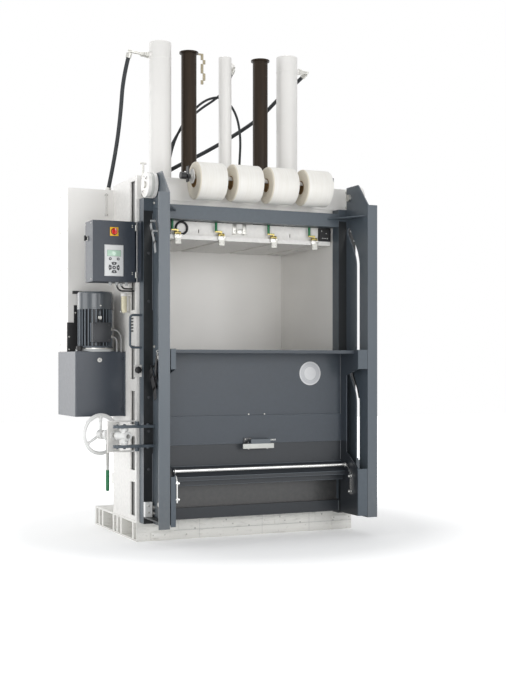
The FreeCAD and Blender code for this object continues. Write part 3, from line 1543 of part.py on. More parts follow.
def switch_knob():
    """The main switch's knob: a round base with a raised handle across it."""
    base = rod(switch_knob_radius, (switch_x, -14, switch_z), (switch_x, -5.3, switch_z))
    low, high = switch_z - switch_knob_radius, switch_z + switch_knob_radius
    bar = box(switch_x - 5, switch_x + 5, -34, -14, low, high)
    return fuse([base, bar])


def box_lock():
    """The turning knob on the control box's left side, with a raised wing across it."""
    x, y, z = box_x[0], side_knob_depth, side_knob_height
    barrel = rod(side_knob_radius, (x - 8, y, z), (x - 0.3, y, z))
    wing = box(x - 18, x - 8, y - 4, y + 4, z - side_knob_radius - 4, z + side_knob_radius + 4)
    return fuse([barrel, wing])


def write_all():
    save("base_frame", base_frame())
    save("floor_plate", floor_plate())
    save("side_columns", both_sides(side_column()))
    save("side_sheets", both_sides(side_sheet()))
    save("rear_wall", rear_wall())
    save("crosshead", crosshead())
    save("press_cylinders", press_cylinders())
    save("middle_cylinder", middle_cylinder())
    save("hose_fittings", hose_fittings())
    save("hose_left", hose_tube("hose_left", hose_a, wide_hose))
    save("hose_right", hose_tube("hose_right", hose_b, wide_hose))
    save("hose_middle", hose_tube("hose_middle", hose_c, thin_hose))
    save("hose_arch", hose_tube("hose_arch", hose_d, thin_hose))
    save("platen", platen())
    save("guide_columns", guide_columns())
    save("cam_bar", cam_bar())
    save("piston_rods", piston_rods())
    save("clamp_bases", [clamp_base(x) for x in strap_lines] + [clamp_ring()])
    for number, x in enumerate(strap_lines, 1):
        save("clamp_lever_%d" % number, clamp_lever(x))
    save("door_frame", door_frame())
    save("door_panel", door_panel())
    save("door_cheeks", both_sides(door_cheek()))
    save("drum_axles", both_sides(drum_axle()))
    save("drum_right", balancer_drum())
    save("drum_left", mirrored(balancer_drum()))
    save("door_fittings", [door_handle(), door_switch(), foot_bracket()])
    save("frame_hinges", frame_hinges())
    save("door_hinges", door_hinges())
    save("flap", flap())
    save("guide_pins", guide_pins())
    save("flap_handle", flap_handle())
    save("guard_rail", guard_rail())
    save("lock_arms", lock_arms())
    save("lock_block", lock_block())
    save("lock_spindle", lock_spindle())
    save("lock_housing", lock_housing())
    save("handwheel", handwheel())
    save("ratchet_lever", ratchet_lever())
    save("column_fittings", lock_bracket() + [lifting_pin()])
    save("roll_holder", roll_holder())
    for number, start in enumerate(roll_starts(), 1):
        save("strap_roll_%d" % number, strap_roll(start))
    save("tank", tank())
    save("cap_and_filter", cap_and_filter())
    save("motor_body", motor_body())
    save("motor_cowl", motor_cowl())
    save("motor_fan", motor_fan())
    save("side_cabinet", side_cabinet())
    save("back_plate", back_plate())
    save("control_box", control_box())
    save("control_gear", control_gear())
    save("control_door", control_door())
    save("panel_plates", panel_plates())
    save("switch_knob", switch_knob())
    save("box_lock", box_lock())


write_all()
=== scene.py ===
import math
from itertools import product

import bmesh
import bpy
from mathutils import Matrix, Vector


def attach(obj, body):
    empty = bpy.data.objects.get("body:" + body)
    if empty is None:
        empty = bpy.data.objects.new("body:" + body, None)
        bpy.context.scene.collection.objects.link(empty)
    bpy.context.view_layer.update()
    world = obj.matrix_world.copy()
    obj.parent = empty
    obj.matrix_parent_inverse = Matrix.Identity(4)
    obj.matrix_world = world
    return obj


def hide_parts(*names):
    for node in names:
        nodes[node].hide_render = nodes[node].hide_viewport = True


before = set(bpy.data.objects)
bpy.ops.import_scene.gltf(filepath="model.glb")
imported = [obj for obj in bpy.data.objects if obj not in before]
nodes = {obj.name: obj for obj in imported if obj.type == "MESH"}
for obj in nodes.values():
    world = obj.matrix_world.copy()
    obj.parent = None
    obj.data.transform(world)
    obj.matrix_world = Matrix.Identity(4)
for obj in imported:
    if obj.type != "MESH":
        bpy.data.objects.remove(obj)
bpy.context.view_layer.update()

# The row's origin is at the middle of the base's footprint. Depths in this script are measured back
# from the front plane of the columns, which lies half a base depth in front of that origin.
FRONT = -0.440
X, Y, Z = Vector((1, 0, 0)), Vector((0, 1, 0)), Vector((0, 0, 1))
SIDES = (-1, 1)
QUARTER_TURN, FULL_TURN = math.radians(90), math.radians(360)

# Centres that a finish shares with a shape, in millimetres.
ROLL_DEPTH, ROLL_Z = -127, 2188
DISC_X, DISC_Z = 366, 1017
KEYPAD_X, KEYPAD_Z = -880, 1696.5
MOTOR_X, MOTOR_DEPTH = -896, 345


def placed(name, data):
    """A new object, linked into the scene."""
    item = bpy.data.objects.new(name, data)
    bpy.context.scene.collection.objects.link(item)
    return item


# --- camera ---
SENSOR = 36.0
PHOTO_HEIGHT, FOCAL_LENGTH, HORIZON_SHIFT = 700, 1165, 15  # in the photograph's pixels
CAMERA_PLACE, CAMERA_TURN = (-2.959, -7.160, 1.070), math.radians(-24)


def photo_camera():
    data = bpy.data.cameras.new("photo_camera")
    data.sensor_width = SENSOR
    data.lens = SENSOR * FOCAL_LENGTH / PHOTO_HEIGHT
    data.shift_y = HORIZON_SHIFT / PHOTO_HEIGHT
    data.clip_end = 100
    camera = placed("photo_camera", data)
    camera.location = CAMERA_PLACE
    camera.rotation_euler = (QUARTER_TURN, 0, CAMERA_TURN)
    bpy.context.scene.camera = camera


photo_camera()


# --- shader maths ---
class Value:
    """A socket that takes part in Python arithmetic; each operation adds one Math node."""

    def __init__(self, tree, socket):
        self.tree, self.socket = tree, socket

    def math(self, operation, *others):
        node = self.tree.nodes.new("ShaderNodeMath")
        node.operation = operation
        for slot, item in zip(node.inputs, (self,) + others):
            if isinstance(item, Value):
                self.tree.links.new(item.socket, slot)
            else:
                slot.default_value = item
        return Value(self.tree, node.outputs[0])

    def __add__(self, other):
        return self.math("ADD", other)

    def __sub__(self, other):
        return self.math("SUBTRACT", other)

    def __rsub__(self, other):
        return (self * -1.0) + other

    def __mul__(self, other):
        return self.math("MULTIPLY", other)

    def __truediv__(self, other):
        return self.math("DIVIDE", other)

    def __pow__(self, other):
        return self.math("POWER", other)

    __radd__ = __add__
    __rmul__ = __mul__

    def clamp(self):
        return self.math("MINIMUM", 1.0).math("MAXIMUM", 0.0)

    def size(self):
        return self.math("ABSOLUTE")

    def above(self, edge, soft=0.0005):
        """1 where the value is over an edge, 0 under it, with a soft step between."""
        return ((self - edge) / soft + 0.5).clamp()

    def below(self, edge, soft=0.0005):
        return 1.0 - self.above(edge, soft)

    def between(self, low, high, soft=0.0005):
        return self.above(low, soft) * self.below(high, soft)

    def spread(self, gain, shift):
        """More contrast, kept between 0 and 1."""
        return (self * gain + shift).clamp()

    def over(self, edge, gain):
        """0 up to an edge, then rising to 1."""
        return ((self - edge) * gain).clamp()


finishes = {}


class Finish:
    """One material, built up from named nodes round a Principled shader."""

    def __init__(self, name):
        self.name = name
        self.material = bpy.data.materials.new(name)
        self.material.use_nodes = True
        self.tree = self.material.node_tree
        self.shader = self.tree.nodes["Principled BSDF"]
        self.place = self.add("ShaderNodeTexCoord").outputs["Object"]
        parts = self.add("ShaderNodeSeparateXYZ", Vector=self.place).outputs
        self.x, self.y, self.z = (Value(self.tree, part) for part in parts)
        self.depth = self.y - FRONT

    def add(self, kind, **sockets):
        node = self.tree.nodes.new(kind)
        for name, value in sockets.items():
            self.feed(node.inputs[name.replace("_", " ")], value)
        return node

    def feed(self, socket, value):
        if isinstance(value, Value):
            value = value.socket
        if isinstance(value, bpy.types.NodeSocket):
            self.tree.links.new(value, socket)
        elif socket.type == "RGBA" and len(value) == 3:
            socket.default_value = tuple(value) + (1.0,)
        else:
            socket.default_value = value

    def stretched(self, *scale):
        """Object coordinates scaled unevenly, for streaks and brushed lines."""
        return self.add("ShaderNodeMapping", Vector=self.place, Scale=scale).outputs["Vector"]

    def noise(self, scale, detail=3.0, where=None):
        node = self.add("ShaderNodeTexNoise", Vector=where or self.place, Scale=scale, Detail=detail)
        return Value(self.tree, node.outputs["Fac"])

    def cells(self, scale):
        node = self.add("ShaderNodeTexVoronoi", Vector=self.place, Scale=scale)
        return Value(self.tree, node.outputs["Distance"])

    def mix(self, factor, low, high, blend="MIX"):
        """A colour between two colours. Each may be a tuple or a socket."""
        node = self.tree.nodes.new("ShaderNodeMix")
        node.data_type = "RGBA"
        node.blend_type = blend
        self.feed(node.inputs[0], factor)
        self.feed(node.inputs[6], low)
        self.feed(node.inputs[7], high)
        return node.outputs[2]

    def tones(self, factor, colour, low, high):
        """One colour between a darker and a lighter tone of it."""
        return self.mix(factor, scaled(colour, low), scaled(colour, high))

    def bump(self, height, depth, strength=1.0, under=None):
        sockets = {"Height": height, "Distance": depth, "Strength": strength}
        if under is not None:
            sockets["Normal"] = under
        return self.add("ShaderNodeBump", **sockets).outputs["Normal"]

    def finish(self, **sockets):
        for name, value in sockets.items():
            self.feed(self.shader.inputs[name.replace("_", " ")], value)
        finishes[self.name] = self.material
        return self.material


def srgb(red, green, blue):
    """A paint colour, from the 0 to 255 steps of a swatch."""
    return tuple(((c / 255 + 0.055) / 1.055) ** 2.4 if c > 10 else c / 255 / 12.92 for c in (red, green, blue))


def scaled(colour, factor):
    return tuple(min(1.0, c * factor) for c in colour)


def square_sum(one, other):
    """The square of a distance, from its two parts."""
    return one * one + other * other


# --- finishes ---
def paint(name, colour, roughness=0.36, peel=0.00012, dust=0.5, grain=900.0, gloss=0.3):
    """Powder coat: a fine orange peel, slight shifts of shade, and dust that gathers low down."""
    f = Finish(name)
    broad, fine, speck = f.noise(1.7, 2.0), f.noise(38.0, 4.0), f.noise(grain, 2.0)
    low = (1.0 - f.z / 0.9).clamp()
    settled = (low * low * fine * dust).clamp()
    shade = f.tones(broad.spread(1.6, -0.3), colour, 0.93, 1.06)
    shade = f.mix(fine.over(0.62, 3.0) * 0.25, shade, scaled(colour, 1.22))
    shade = f.mix(settled * 0.45, shade, srgb(168, 162, 150))
    normal = f.bump(broad, 0.0012, 0.3, f.bump(speck, peel, 0.55))
    f.finish(Base_Color=shade, Roughness=roughness + (fine - 0.5) * 0.12 + settled * 0.2, Normal=normal,
             Coat_Weight=gloss, Coat_Roughness=0.22)


def bare_steel(name, colour, roughness, along):
    """Drawn or turned steel, with fine lines and faint stains."""
    f = Finish(name)
    lines, patch = f.noise(24.0, 4.0, f.stretched(*along)), f.noise(11.0)
    shade = f.tones(lines.spread(1.5, -0.25), colour, 0.85, 1.08)
    shade = f.mix(patch.over(0.5, 4.0) * 0.35, shade, scaled(colour, 0.62))
    f.finish(Base_Color=shade, Metallic=0.92, Roughness=roughness + (lines - 0.5) * 0.2 + (patch - 0.5) * 0.15,
             Normal=f.bump(lines, 0.00015, 0.5))


def plated(name, colour, roughness):
    """Zinc plated steel, with a faint crystal flower."""
    f = Finish(name)
    flower, cloud = f.cells(140.0), f.noise(30.0)
    shade = f.tones((flower * 1.3).clamp(), colour, 0.82, 1.1)
    shade = f.mix(cloud.over(0.5, 3.0) * 0.4, shade, scaled(colour, 0.7))
    f.finish(Base_Color=shade, Metallic=0.85, Roughness=roughness + cloud * 0.18, Normal=f.bump(cloud, 0.0002, 0.4))


def plastic(name, colour, roughness=0.4):
    """Moulded plastic with a fine spark-eroded grain."""
    f = Finish(name)
    speck, patch = f.noise(1500.0, 2.0), f.noise(22.0)
    f.finish(Base_Color=f.tones(patch.spread(1.4, -0.2), colour, 0.9, 1.15),
             Roughness=roughness + (speck - 0.5) * 0.14 + (patch - 0.5) * 0.1, Normal=f.bump(speck, 0.00008, 0.6))


def hose_cover():
    """Cloth-wrapped hydraulic hose: a fine weave over dark rubber."""
    f = Finish("hose_cover")
    weave, scuff = f.noise(420.0), f.noise(16.0, 4.0)
    shade = f.mix(weave.spread(1.5, -0.25), srgb(24, 27, 30), srgb(50, 54, 57))
    shade = f.mix(scuff.over(0.56, 5.0) * 0.35, shade, srgb(88, 88, 86))
    f.finish(Base_Color=shade, Roughness=0.62 + scuff * 0.15, Normal=f.bump(weave, 0.0006, 0.6))


def oiled_column():
    """Dark drawn tube with a film of oil: upright lines and a few runs."""
    f = Finish("oiled_column")
    lines, runs = f.noise(60.0, 3.0, f.stretched(1.0, 1.0, 0.05)), f.noise(26.0, 3.0, f.stretched(1.0, 1.0, 0.12))
    shade = f.mix(lines, srgb(38, 29, 21), srgb(56, 45, 34))
    shade = f.mix(runs.over(0.5, 4.0) * 0.5, shade, srgb(36, 31, 27))
    f.finish(Base_Color=shade, Metallic=0.2, Roughness=0.3 + lines * 0.16, Normal=f.bump(lines, 0.0002, 0.4),
             Specular_IOR_Level=0.2)


def chrome_rod():
    f = Finish("chrome_rod")
    haze = f.noise(40.0, 3.0, f.stretched(1.0, 1.0, 0.1))
    f.finish(Base_Color=f.mix(haze, srgb(196, 198, 200), srgb(222, 223, 224)), Metallic=1.0,
             Roughness=0.08 + haze * 0.1, Normal=f.bump(haze, 0.0001, 0.3))


def cast_paint(name, colour, roughness):
    """Thick paint over a cast skin."""
    f = Finish(name)
    lumps, chips, broad = f.noise(75.0, 4.0), f.cells(260.0), f.noise(9.0, 2.0)
    shade = f.tones(broad.spread(1.5, -0.25), colour, 0.88, 1.08)
    shade = f.mix((1.0 - chips * 7.0).clamp() * broad.over(0.5, 5.0) * 0.5, shade, scaled(colour, 0.5))
    f.finish(Base_Color=shade, Roughness=roughness + (lumps - 0.5) * 0.2, Normal=f.bump(lumps, 0.0012, 0.5))


def wound_strap(centre_x):
    """A roll seen from any side: fine rings on its ends, and slightly uneven turns round its face."""
    f = Finish("wound_strap")
    radius = square_sum(f.depth - ROLL_DEPTH / 1000, f.z - ROLL_Z / 1000) ** 0.5
    rings = (radius * 5200.0).math("SINE")
    wander = f.noise(9.0)
    layer = f.noise(1.0, 2.0, f.add("ShaderNodeCombineXYZ", X=radius * 300.0).outputs[0])
    along = f.noise(120.0, 2.0, f.stretched(1.0, 0.04, 0.04))
    end = (f.x - centre_x).size().above(0.088, 0.004)
    face = f.mix(along.spread(1.6, -0.3), srgb(240, 237, 229), srgb(250, 248, 243))
    side = f.mix(layer.spread(1.6, -0.3), srgb(222, 212, 192), srgb(244, 238, 224))
    shade = f.mix(wander.over(0.5, 3.0) * 0.18, f.mix(end, face, side), srgb(214, 206, 190))
    height = rings * end * 0.4 + layer * end + along * (1.0 - end) * 0.8
    return f.finish(Base_Color=shade, Roughness=0.6 + wander * 0.15, Normal=f.bump(height, 0.0007, 0.6))


def card_core():
    f = Finish("card_core")
    fibre = f.noise(300.0, 3.0, f.stretched(0.3, 1.0, 1.0))
    shade = f.mix(fibre, srgb(112, 84, 48), srgb(160, 128, 82))
    shade = f.mix(f.noise(30.0, 2.0) * 0.4, shade, srgb(92, 66, 36))
    f.finish(Base_Color=shade, Roughness=0.85, Normal=f.bump(fibre, 0.0005, 0.5))


def panel_film():
    """Light printed film: a fine matt grain, and a faint border line round the keypad."""
    f = Finish("panel_film")
    grain = f.noise(700.0, 2.0)
    across, up = (f.x - KEYPAD_X / 1000).size(), (f.z - KEYPAD_Z / 1000).size()
    border = (across.between(0.0545, 0.0555, 0.0008) * up.below(0.0905)
              + up.between(0.0895, 0.0905, 0.0008) * across.below(0.0555))
    shade = f.mix(f.noise(14.0, 2.0), srgb(222, 223, 223), srgb(233, 233, 232))
    shade = f.mix(border.clamp() * 0.5, shade, srgb(150, 153, 155))
    f.finish(Base_Color=shade, Roughness=0.36 + grain * 0.1, Normal=f.bump(grain, 0.00006, 0.5))


def display_glass():
    """The keypad's window: pale green glass, lighter where the light behind it spreads."""
    f = Finish("display_glass")
    spread, dots = f.noise(40.0, 2.0), f.cells(900.0)
    shade = f.mix(spread, srgb(176, 214, 190), srgb(206, 232, 212))
    shade = f.mix((1.0 - dots * 3.0).clamp() * 0.2, shade, srgb(140, 180, 158))
    f.finish(Base_Color=shade, Roughness=0.12 + spread * 0.08, Coat_Weight=0.6)


def ringed_plate():
    """A bare round disc: a pale rim, a greyer band and a light middle."""
    f = Finish("ringed_plate")
    radius = square_sum(f.x - DISC_X / 1000, f.z - DISC_Z / 1000) ** 0.5
    soft = f.noise(30.0, 2.0)
    shade = f.mix(soft, srgb(206, 207, 209), srgb(218, 218, 219))
    shade = f.mix(radius.between(0.047, 0.066, 0.001) * 0.6, shade, srgb(176, 178, 182))
    shade = f.mix(radius.between(0.0425, 0.0455, 0.0006) * 0.8, shade, srgb(156, 158, 162))
    f.finish(Base_Color=shade, Roughness=0.3 + soft * 0.1, Normal=f.bump(soft, 0.00005, 0.3))


def mixed(name, ground, *zones):
    """One node with several finishes. Each zone is (where, colour, (metallic, roughness)); later ones lie on top."""
    f = Finish(name)
    fine, speck, cloud = f.noise(46.0, 4.0), f.noise(800.0, 2.0), f.noise(7.0)
    shade, (metal, rough) = ground
    for where, colour, (zone_metal, zone_rough) in zones:
        mask = where(f)
        shade = f.mix(mask, shade, colour)
        metal = mask * (zone_metal - metal) + metal
        rough = mask * (zone_rough - rough) + rough
    shade = f.mix(1.0, shade, f.mix(fine, (0.84, 0.84, 0.84), (1.1, 1.1, 1.1)), "MULTIPLY")
    shade = f.mix(cloud.over(0.55, 4.0) * 0.25, shade, f.mix(1.0, shade, (0.7, 0.69, 0.67), "MULTIPLY"))
    f.finish(Base_Color=shade, Metallic=metal, Roughness=rough + (fine - 0.5) * 0.16, Coat_Weight=0.05,
             Coat_Roughness=0.25, Specular_IOR_Level=0.4, Normal=f.bump(speck, 0.0001, 0.5))


def base_paint():
    """Light paint on the base: trodden and rubbed along its top edge, with dust in the corners."""
    f = Finish("base_paint")
    broad, fine, rub = f.noise(3.0), f.noise(60.0, 4.0), f.noise(14.0, 4.0, f.stretched(1.0, 1.0, 4.0))
    shade = f.tones(broad.spread(1.6, -0.3), srgb(238, 237, 232), 0.93, 1.03)
    shade = f.mix(rub.over(0.56, 6.0) * (0.3 + f.z.above(0.115, 0.01) * 0.5), shade, srgb(168, 166, 160))
    shade = f.mix(fine.over(0.64, 8.0) * 0.4, shade, srgb(150, 146, 138))
    shade = f.mix((1.0 - f.z / 0.03).clamp() * broad * 0.4, shade, srgb(150, 144, 134))
    f.finish(Base_Color=shade, Roughness=0.45 + fine * 0.2, Normal=f.bump(fine, 0.0004, 0.4))


def chamber_floor():
    """Worn floor plate: scuffed to bare steel along the strap channels."""
    f = Finish("chamber_floor")
    broad, scratch = f.noise(4.0, 4.0), f.noise(18.0, 4.0, f.stretched(30.0, 1.0, 1.0))
    shade = f.mix(broad.spread(1.6, -0.3), srgb(92, 94, 96), srgb(128, 130, 131))
    shade = f.mix(scratch.over(0.52, 6.0) * 0.6, shade, srgb(168, 168, 166))
    f.finish(Base_Color=shade, Metallic=0.5, Roughness=0.35 + broad * 0.3, Normal=f.bump(scratch, 0.0004, 0.5))


POST, PANEL, SHADED, BOX = srgb(78, 87, 95), srgb(60, 67, 75), srgb(42, 46, 51), srgb(50, 57, 67)
WHITE, LIGHT, BLACK, GREEN = srgb(240, 238, 234), srgb(238, 238, 236), srgb(26, 26, 28), srgb(20, 112, 68)
BRASS, ZINC = srgb(176, 160, 100), srgb(196, 195, 190)
PAINTED, RUBBED, PLATED, MOULDED = (0.0, 0.4), (0.15, 0.42), (0.8, 0.36), (0.0, 0.46)

for make in (base_paint, chamber_floor, oiled_column, chrome_rod, hose_cover, ringed_plate, panel_film,
             display_glass, card_core):
    make()
paint("white_paint", WHITE, 0.4, dust=0.25)
paint("post_paint", POST, gloss=0.12)
paint("panel_paint", PANEL, gloss=0.12)
# Painted shade: the panel behind the flap is painted near black for the shade that falls in the recess behind the
# flap.
paint("inner_shade_paint", srgb(32, 35, 39))
paint("box_paint", BOX, peel=0.00025, grain=420.0, gloss=0.2)
paint("motor_gloss", srgb(70, 76, 82), 0.24, gloss=0.5)
cast_paint("motor_paint", srgb(88, 95, 103), 0.3)
cast_paint("wheel_paint", LIGHT, 0.4)
plated("zinc_plate", ZINC, 0.33)
plated("dull_zinc", srgb(150, 142, 122), 0.42)
bare_steel("bright_steel", srgb(214, 214, 212), 0.22, (160.0, 6.0, 6.0))
bare_steel("turned_steel", srgb(188, 187, 184), 0.32, (6.0, 6.0, 160.0))
plastic("motor_plastic", srgb(44, 46, 50))
plastic("black_plastic", BLACK, 0.45)
plastic("key_dark", srgb(62, 64, 67))
plastic("green_plastic", GREEN, 0.38)
plastic("cream_plastic", srgb(228, 222, 196))
plastic("grip_light", srgb(206, 207, 202))
plastic("switch_yellow", srgb(244, 190, 34), 0.36)
plastic("switch_red", srgb(206, 30, 22), 0.32)
plastic("gear_grey", srgb(176, 178, 178), 0.5)
# Painted shade: the faces inside the columns' side channels are painted grey for the shade that falls in them.
mixed("column_paint", (WHITE, PAINTED),
      (lambda f: f.depth.between(0.009, 0.459) * f.x.size().between(0.6205, 0.7295), srgb(188, 188, 186), PAINTED))
# Painted shade: the stile fronts inside the cheek channels are painted near black, and the bottom rail between the
# stiles in the darker SHADED tone, for the shade that falls there.
mixed("door_frame", (POST, PAINTED),
      (lambda f: f.depth.below(-0.087) * f.x.size().above(0.597) * f.z.below(1.995), srgb(30, 33, 35), PAINTED),
      (lambda f: f.z.below(0.21) * f.x.size().below(0.597), SHADED, PAINTED))
mixed("column_fittings", (WHITE, PAINTED), (lambda f: f.z.above(2.2), ZINC, PLATED))
mixed("clamps", (BRASS, PLATED), (lambda f: f.z.below(1.8725), srgb(216, 215, 208), RUBBED),
      (lambda f: f.depth.above(0.0232), BLACK, MOULDED))
mixed("clamp_levers", (BRASS, PLATED), (lambda f: f.z.above(1.9052), GREEN, MOULDED))
mixed("control_housing", (BOX, PAINTED),
      (lambda f: f.x.between(-0.7476, -0.7366) * f.depth.below(0.031), ZINC, PLATED),
      (lambda f: f.z.below(1.5698), BLACK, MOULDED))
mixed("control_lid", (BOX, PAINTED), (lambda f: f.x.above(-0.7478), ZINC, PLATED))
mixed("door_fittings", (POST, PAINTED), (lambda f: f.z.between(0.99, 1.08), WHITE, PAINTED),
      (lambda f: f.z.between(0.99, 1.08) * f.depth.below(-0.0502), BLACK, MOULDED),
      (lambda f: f.z.below(0.3), LIGHT, RUBBED),
      (lambda f: f.z.below(0.3) * f.x.above(-0.6782), ZINC, PLATED))
mixed("cap_and_filter", (WHITE, PAINTED), (lambda f: f.z.between(1.393, 1.4902), srgb(226, 219, 190), MOULDED),
      (lambda f: f.z.below(1.25), BLACK, MOULDED))
# Painted highlight: the outer part of the motor's fins, beyond about 101 mm from its axis, is painted lighter where
# the fin edges catch the light.
mixed("motor", (srgb(40, 43, 47), (0.1, 0.4)),
      (lambda f: square_sum(f.x - MOTOR_X / 1000, f.depth - MOTOR_DEPTH / 1000).above(0.0102, 0.0012),
       srgb(112, 120, 128), (0.1, 0.3)),
      (lambda f: f.depth.below(0.2372), srgb(50, 53, 57), MOULDED),
      (lambda f: f.z.below(1.1753), ZINC, PLATED),
      (lambda f: f.x.above(-0.8382) * f.depth.below(0.2472), srgb(150, 151, 150), RUBBED))
mixed("roll_holder", (WHITE, PAINTED), (lambda f: f.x.below(-0.4668), BLACK, MOULDED),
      (lambda f: f.x.above(0.5142), srgb(58, 60, 62), PLATED))
mixed("platen", (WHITE, PAINTED),
      (lambda f: f.x.size().above(0.5132) * f.z.above(1.8722) * f.depth.below(0.0381), BLACK, MOULDED))
mixed("ratchet", (srgb(176, 176, 172), RUBBED), (lambda f: f.z.above(0.618), LIGHT, PAINTED),
      (lambda f: f.z.below(0.4355), GREEN, MOULDED))
# Painted shade: the flap below 588 mm is painted in the darker SHADED tone for the shade under its folds.
mixed("flap", (PANEL, PAINTED), (lambda f: f.z.below(0.5885), SHADED, PAINTED),
      (lambda f: f.depth.below(-0.354), POST, PAINTED))
mixed("lock_arms", (POST, PAINTED))

NODES_BY_FINISH = {
    "base_paint": "base_frame", "chamber_floor": "floor_plate", "column_paint": "side_columns",
    "white_paint": "side_sheets rear_wall crosshead press_cylinders middle_cylinder side_cabinet drum_left "
                   "drum_right",
    "post_paint": "frame_hinges door_cheeks door_hinges flap_handle", "inner_shade_paint": "door_panel",
    "zinc_plate": "hose_fittings drum_axles guide_pins", "dull_zinc": "cam_bar", "chrome_rod": "piston_rods",
    "bright_steel": "guard_rail", "turned_steel": "lock_spindle", "oiled_column": "guide_columns",
    "box_paint": "tank", "control_housing": "control_box", "control_lid": "control_door",
    "panel_film": "panel_plates", "switch_red": "switch_knob", "gear_grey": "control_gear",
    "motor": "motor_body", "motor_gloss": "motor_cowl", "black_plastic": "back_plate motor_fan box_lock",
    "wheel_paint": "lock_block lock_housing handwheel", "ratchet": "ratchet_lever", "clamps": "clamp_bases",
    "clamp_levers": "clamp_lever_1 clamp_lever_2 clamp_lever_3 clamp_lever_4",
}
for name in ("column_fittings", "roll_holder", "cap_and_filter", "platen", "door_frame", "door_fittings", "lock_arms",
             "flap"):
    NODES_BY_FINISH[name] = name


def coat(names, material):
    """Give the named nodes a finish."""
    for name in names.split():
        for slot in nodes[name].material_slots:
            slot.material = material


for finish, names in NODES_BY_FINISH.items():
    coat(names, finishes[finish])


# --- hoses ---
def hose(name, route, diameter):
    """A hose along its route, whose points are given in millimetres with the depth from the front."""
    curve = bpy.data.curves.new(name, "CURVE")
    curve.dimensions = "3D"
    curve.bevel_depth = diameter / 2
    curve.bevel_resolution = 6
    curve.resolution_u = 16
    curve.use_fill_caps = True
    spline = curve.splines.new("NURBS")
    spline.points.add(len(route) - 1)
    for point, (x, y, z) in zip(spline.points, route):
        point.co = (x / 1000, y / 1000 + FRONT, z / 1000, 1.0)
    spline.order_u = 3
    spline.use_endpoint_u = True
    piece = placed(name, curve)
    curve.materials.append(finishes["hose_cover"])
    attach(piece, "frame")
    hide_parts(name)


hose("hose_left", ((-668, 380, 3025), (-697, 398, 2890), (-698, 440, 2690), (-710, 508, 2440),
                   (-742, 560, 2220)), 0.026)
hose("hose_right", ((596, 432, 3042), (560, 515, 2990), (470, 560, 2905), (350, 560, 2775), (140, 556, 2625),
                    (-100, 560, 2480), (-320, 566, 2365), (-480, 572, 2262)), 0.026)
hose("hose_middle", ((66, 420, 3006), (50, 470, 2920), (-20, 500, 2845), (-125, 506, 2775), (-225, 510, 2680),
                     (-310, 514, 2560), (-372, 520, 2410), (-404, 526, 2262)), 0.016)
hose("hose_arch", ((124, 450, 2262), (136, 452, 2430), (146, 456, 2610), (112, 462, 2770), (20, 468, 2862),
                   (-100, 474, 2835), (-205, 482, 2735), (-290, 492, 2605), (-345, 502, 2440),
                   (-366, 512, 2262)), 0.016)


# --- shapes, all in millimetres ---
def at(place):
    """A place in metres: as it is, or from (x, depth behind the columns' front, height) in millimetres."""
    if isinstance(place, Vector):
        return place
    x, depth, z = place
    return Vector((x / 1000, depth / 1000 + FRONT, z / 1000))


def polar(radius, angle):
    """The two parts of a radius at an angle in degrees."""
    return radius * math.cos(math.radians(angle)), radius * math.sin(math.radians(angle))


def turn_to(axis):
    return axis.to_track_quat("Z", "Y").to_matrix().to_4x4()


def edges_of(verts):
    """The edges that meet the vertices, each once and always in the same order."""
    return list(dict.fromkeys(edge for vert in verts for edge in vert.link_edges))


def soften(mesh, edges, width, steps=2):
    bmesh.ops.bevel(mesh, geom=edges, offset=width / 1000, affect="EDGES", segments=steps, profile=0.5,
                    material=-1)


def turned(mesh, profile, centre, axis, steps=48):
    """Spin a profile of (along, radius) points about an axis through a centre."""
    centre, axis = at(centre), Vector(axis).normalized()
    side = axis.orthogonal().normalized()
    verts = [mesh.verts.new(centre + (axis * along + side * radius) / 1000) for along, radius in profile]
    edges = [mesh.edges.new(pair) for pair in zip(verts, verts[1:])]
    bmesh.ops.spin(mesh, geom=verts + edges, cent=centre, axis=axis, angle=FULL_TURN, steps=steps,
                   use_merge=True, use_duplicate=False)
    bmesh.ops.remove_doubles(mesh, verts=mesh.verts, dist=0.00002)


def hoop(mesh, profile, centre, axis, steps=48):
    """Spin a profile that closes on itself."""
    turned(mesh, profile + profile[:1], centre, axis, steps)


def ring(mesh, centre, axis, radius, thickness, steps=32):
    """A round ring of round section."""
    section = [polar(thickness, 36 * n) for n in range(10)]
    hoop(mesh, [(along, radius + out) for out, along in section], centre, axis, steps)


def cone(mesh, centre, turn, radius, tip, depth, segments):
    """A capped cone or prism about its middle. Its new vertices are returned."""
    return bmesh.ops.create_cone(mesh, cap_ends=True, segments=segments, radius1=radius / 1000, radius2=tip / 1000,
                                 depth=depth / 1000, matrix=Matrix.Translation(at(centre)) @ turn)["verts"]


def ball(mesh, centre, radius):
    bmesh.ops.create_uvsphere(mesh, u_segments=16, v_segments=10, radius=radius / 1000,
                              matrix=Matrix.Translation(at(centre)))


def block(mesh, middle, size, soft, steps=2, turn=Matrix()):
    """A block round its middle, turned and with its edges rounded. Middle and size are in metres."""
    made = bmesh.ops.create_cube(mesh, size=1.0,
                                 matrix=Matrix.Translation(middle) @ turn @ Matrix.Diagonal((*size, 1.0)))
    if soft:
        soften(mesh, edges_of(made["verts"]), soft, steps)


def slab(mesh, low, high, soft=0.0, steps=2):
    """A block between two corners, with its edges rounded."""
    low, high = at(low), at(high)
    block(mesh, (low + high) / 2, high - low, soft, steps)


def border(mesh, low, high, width):
    """A flat rectangular frame between two corners."""
    (x0, y0, z0), (x1, y1, z1) = low, high
    slab(mesh, low, (x1, y1, z0 + width))
    slab(mesh, (x0, y0, z1 - width), high)
    for x in (x0, x1 - width):
        slab(mesh, (x, y0, z0 + width), (x + width, y1, z1 - width))


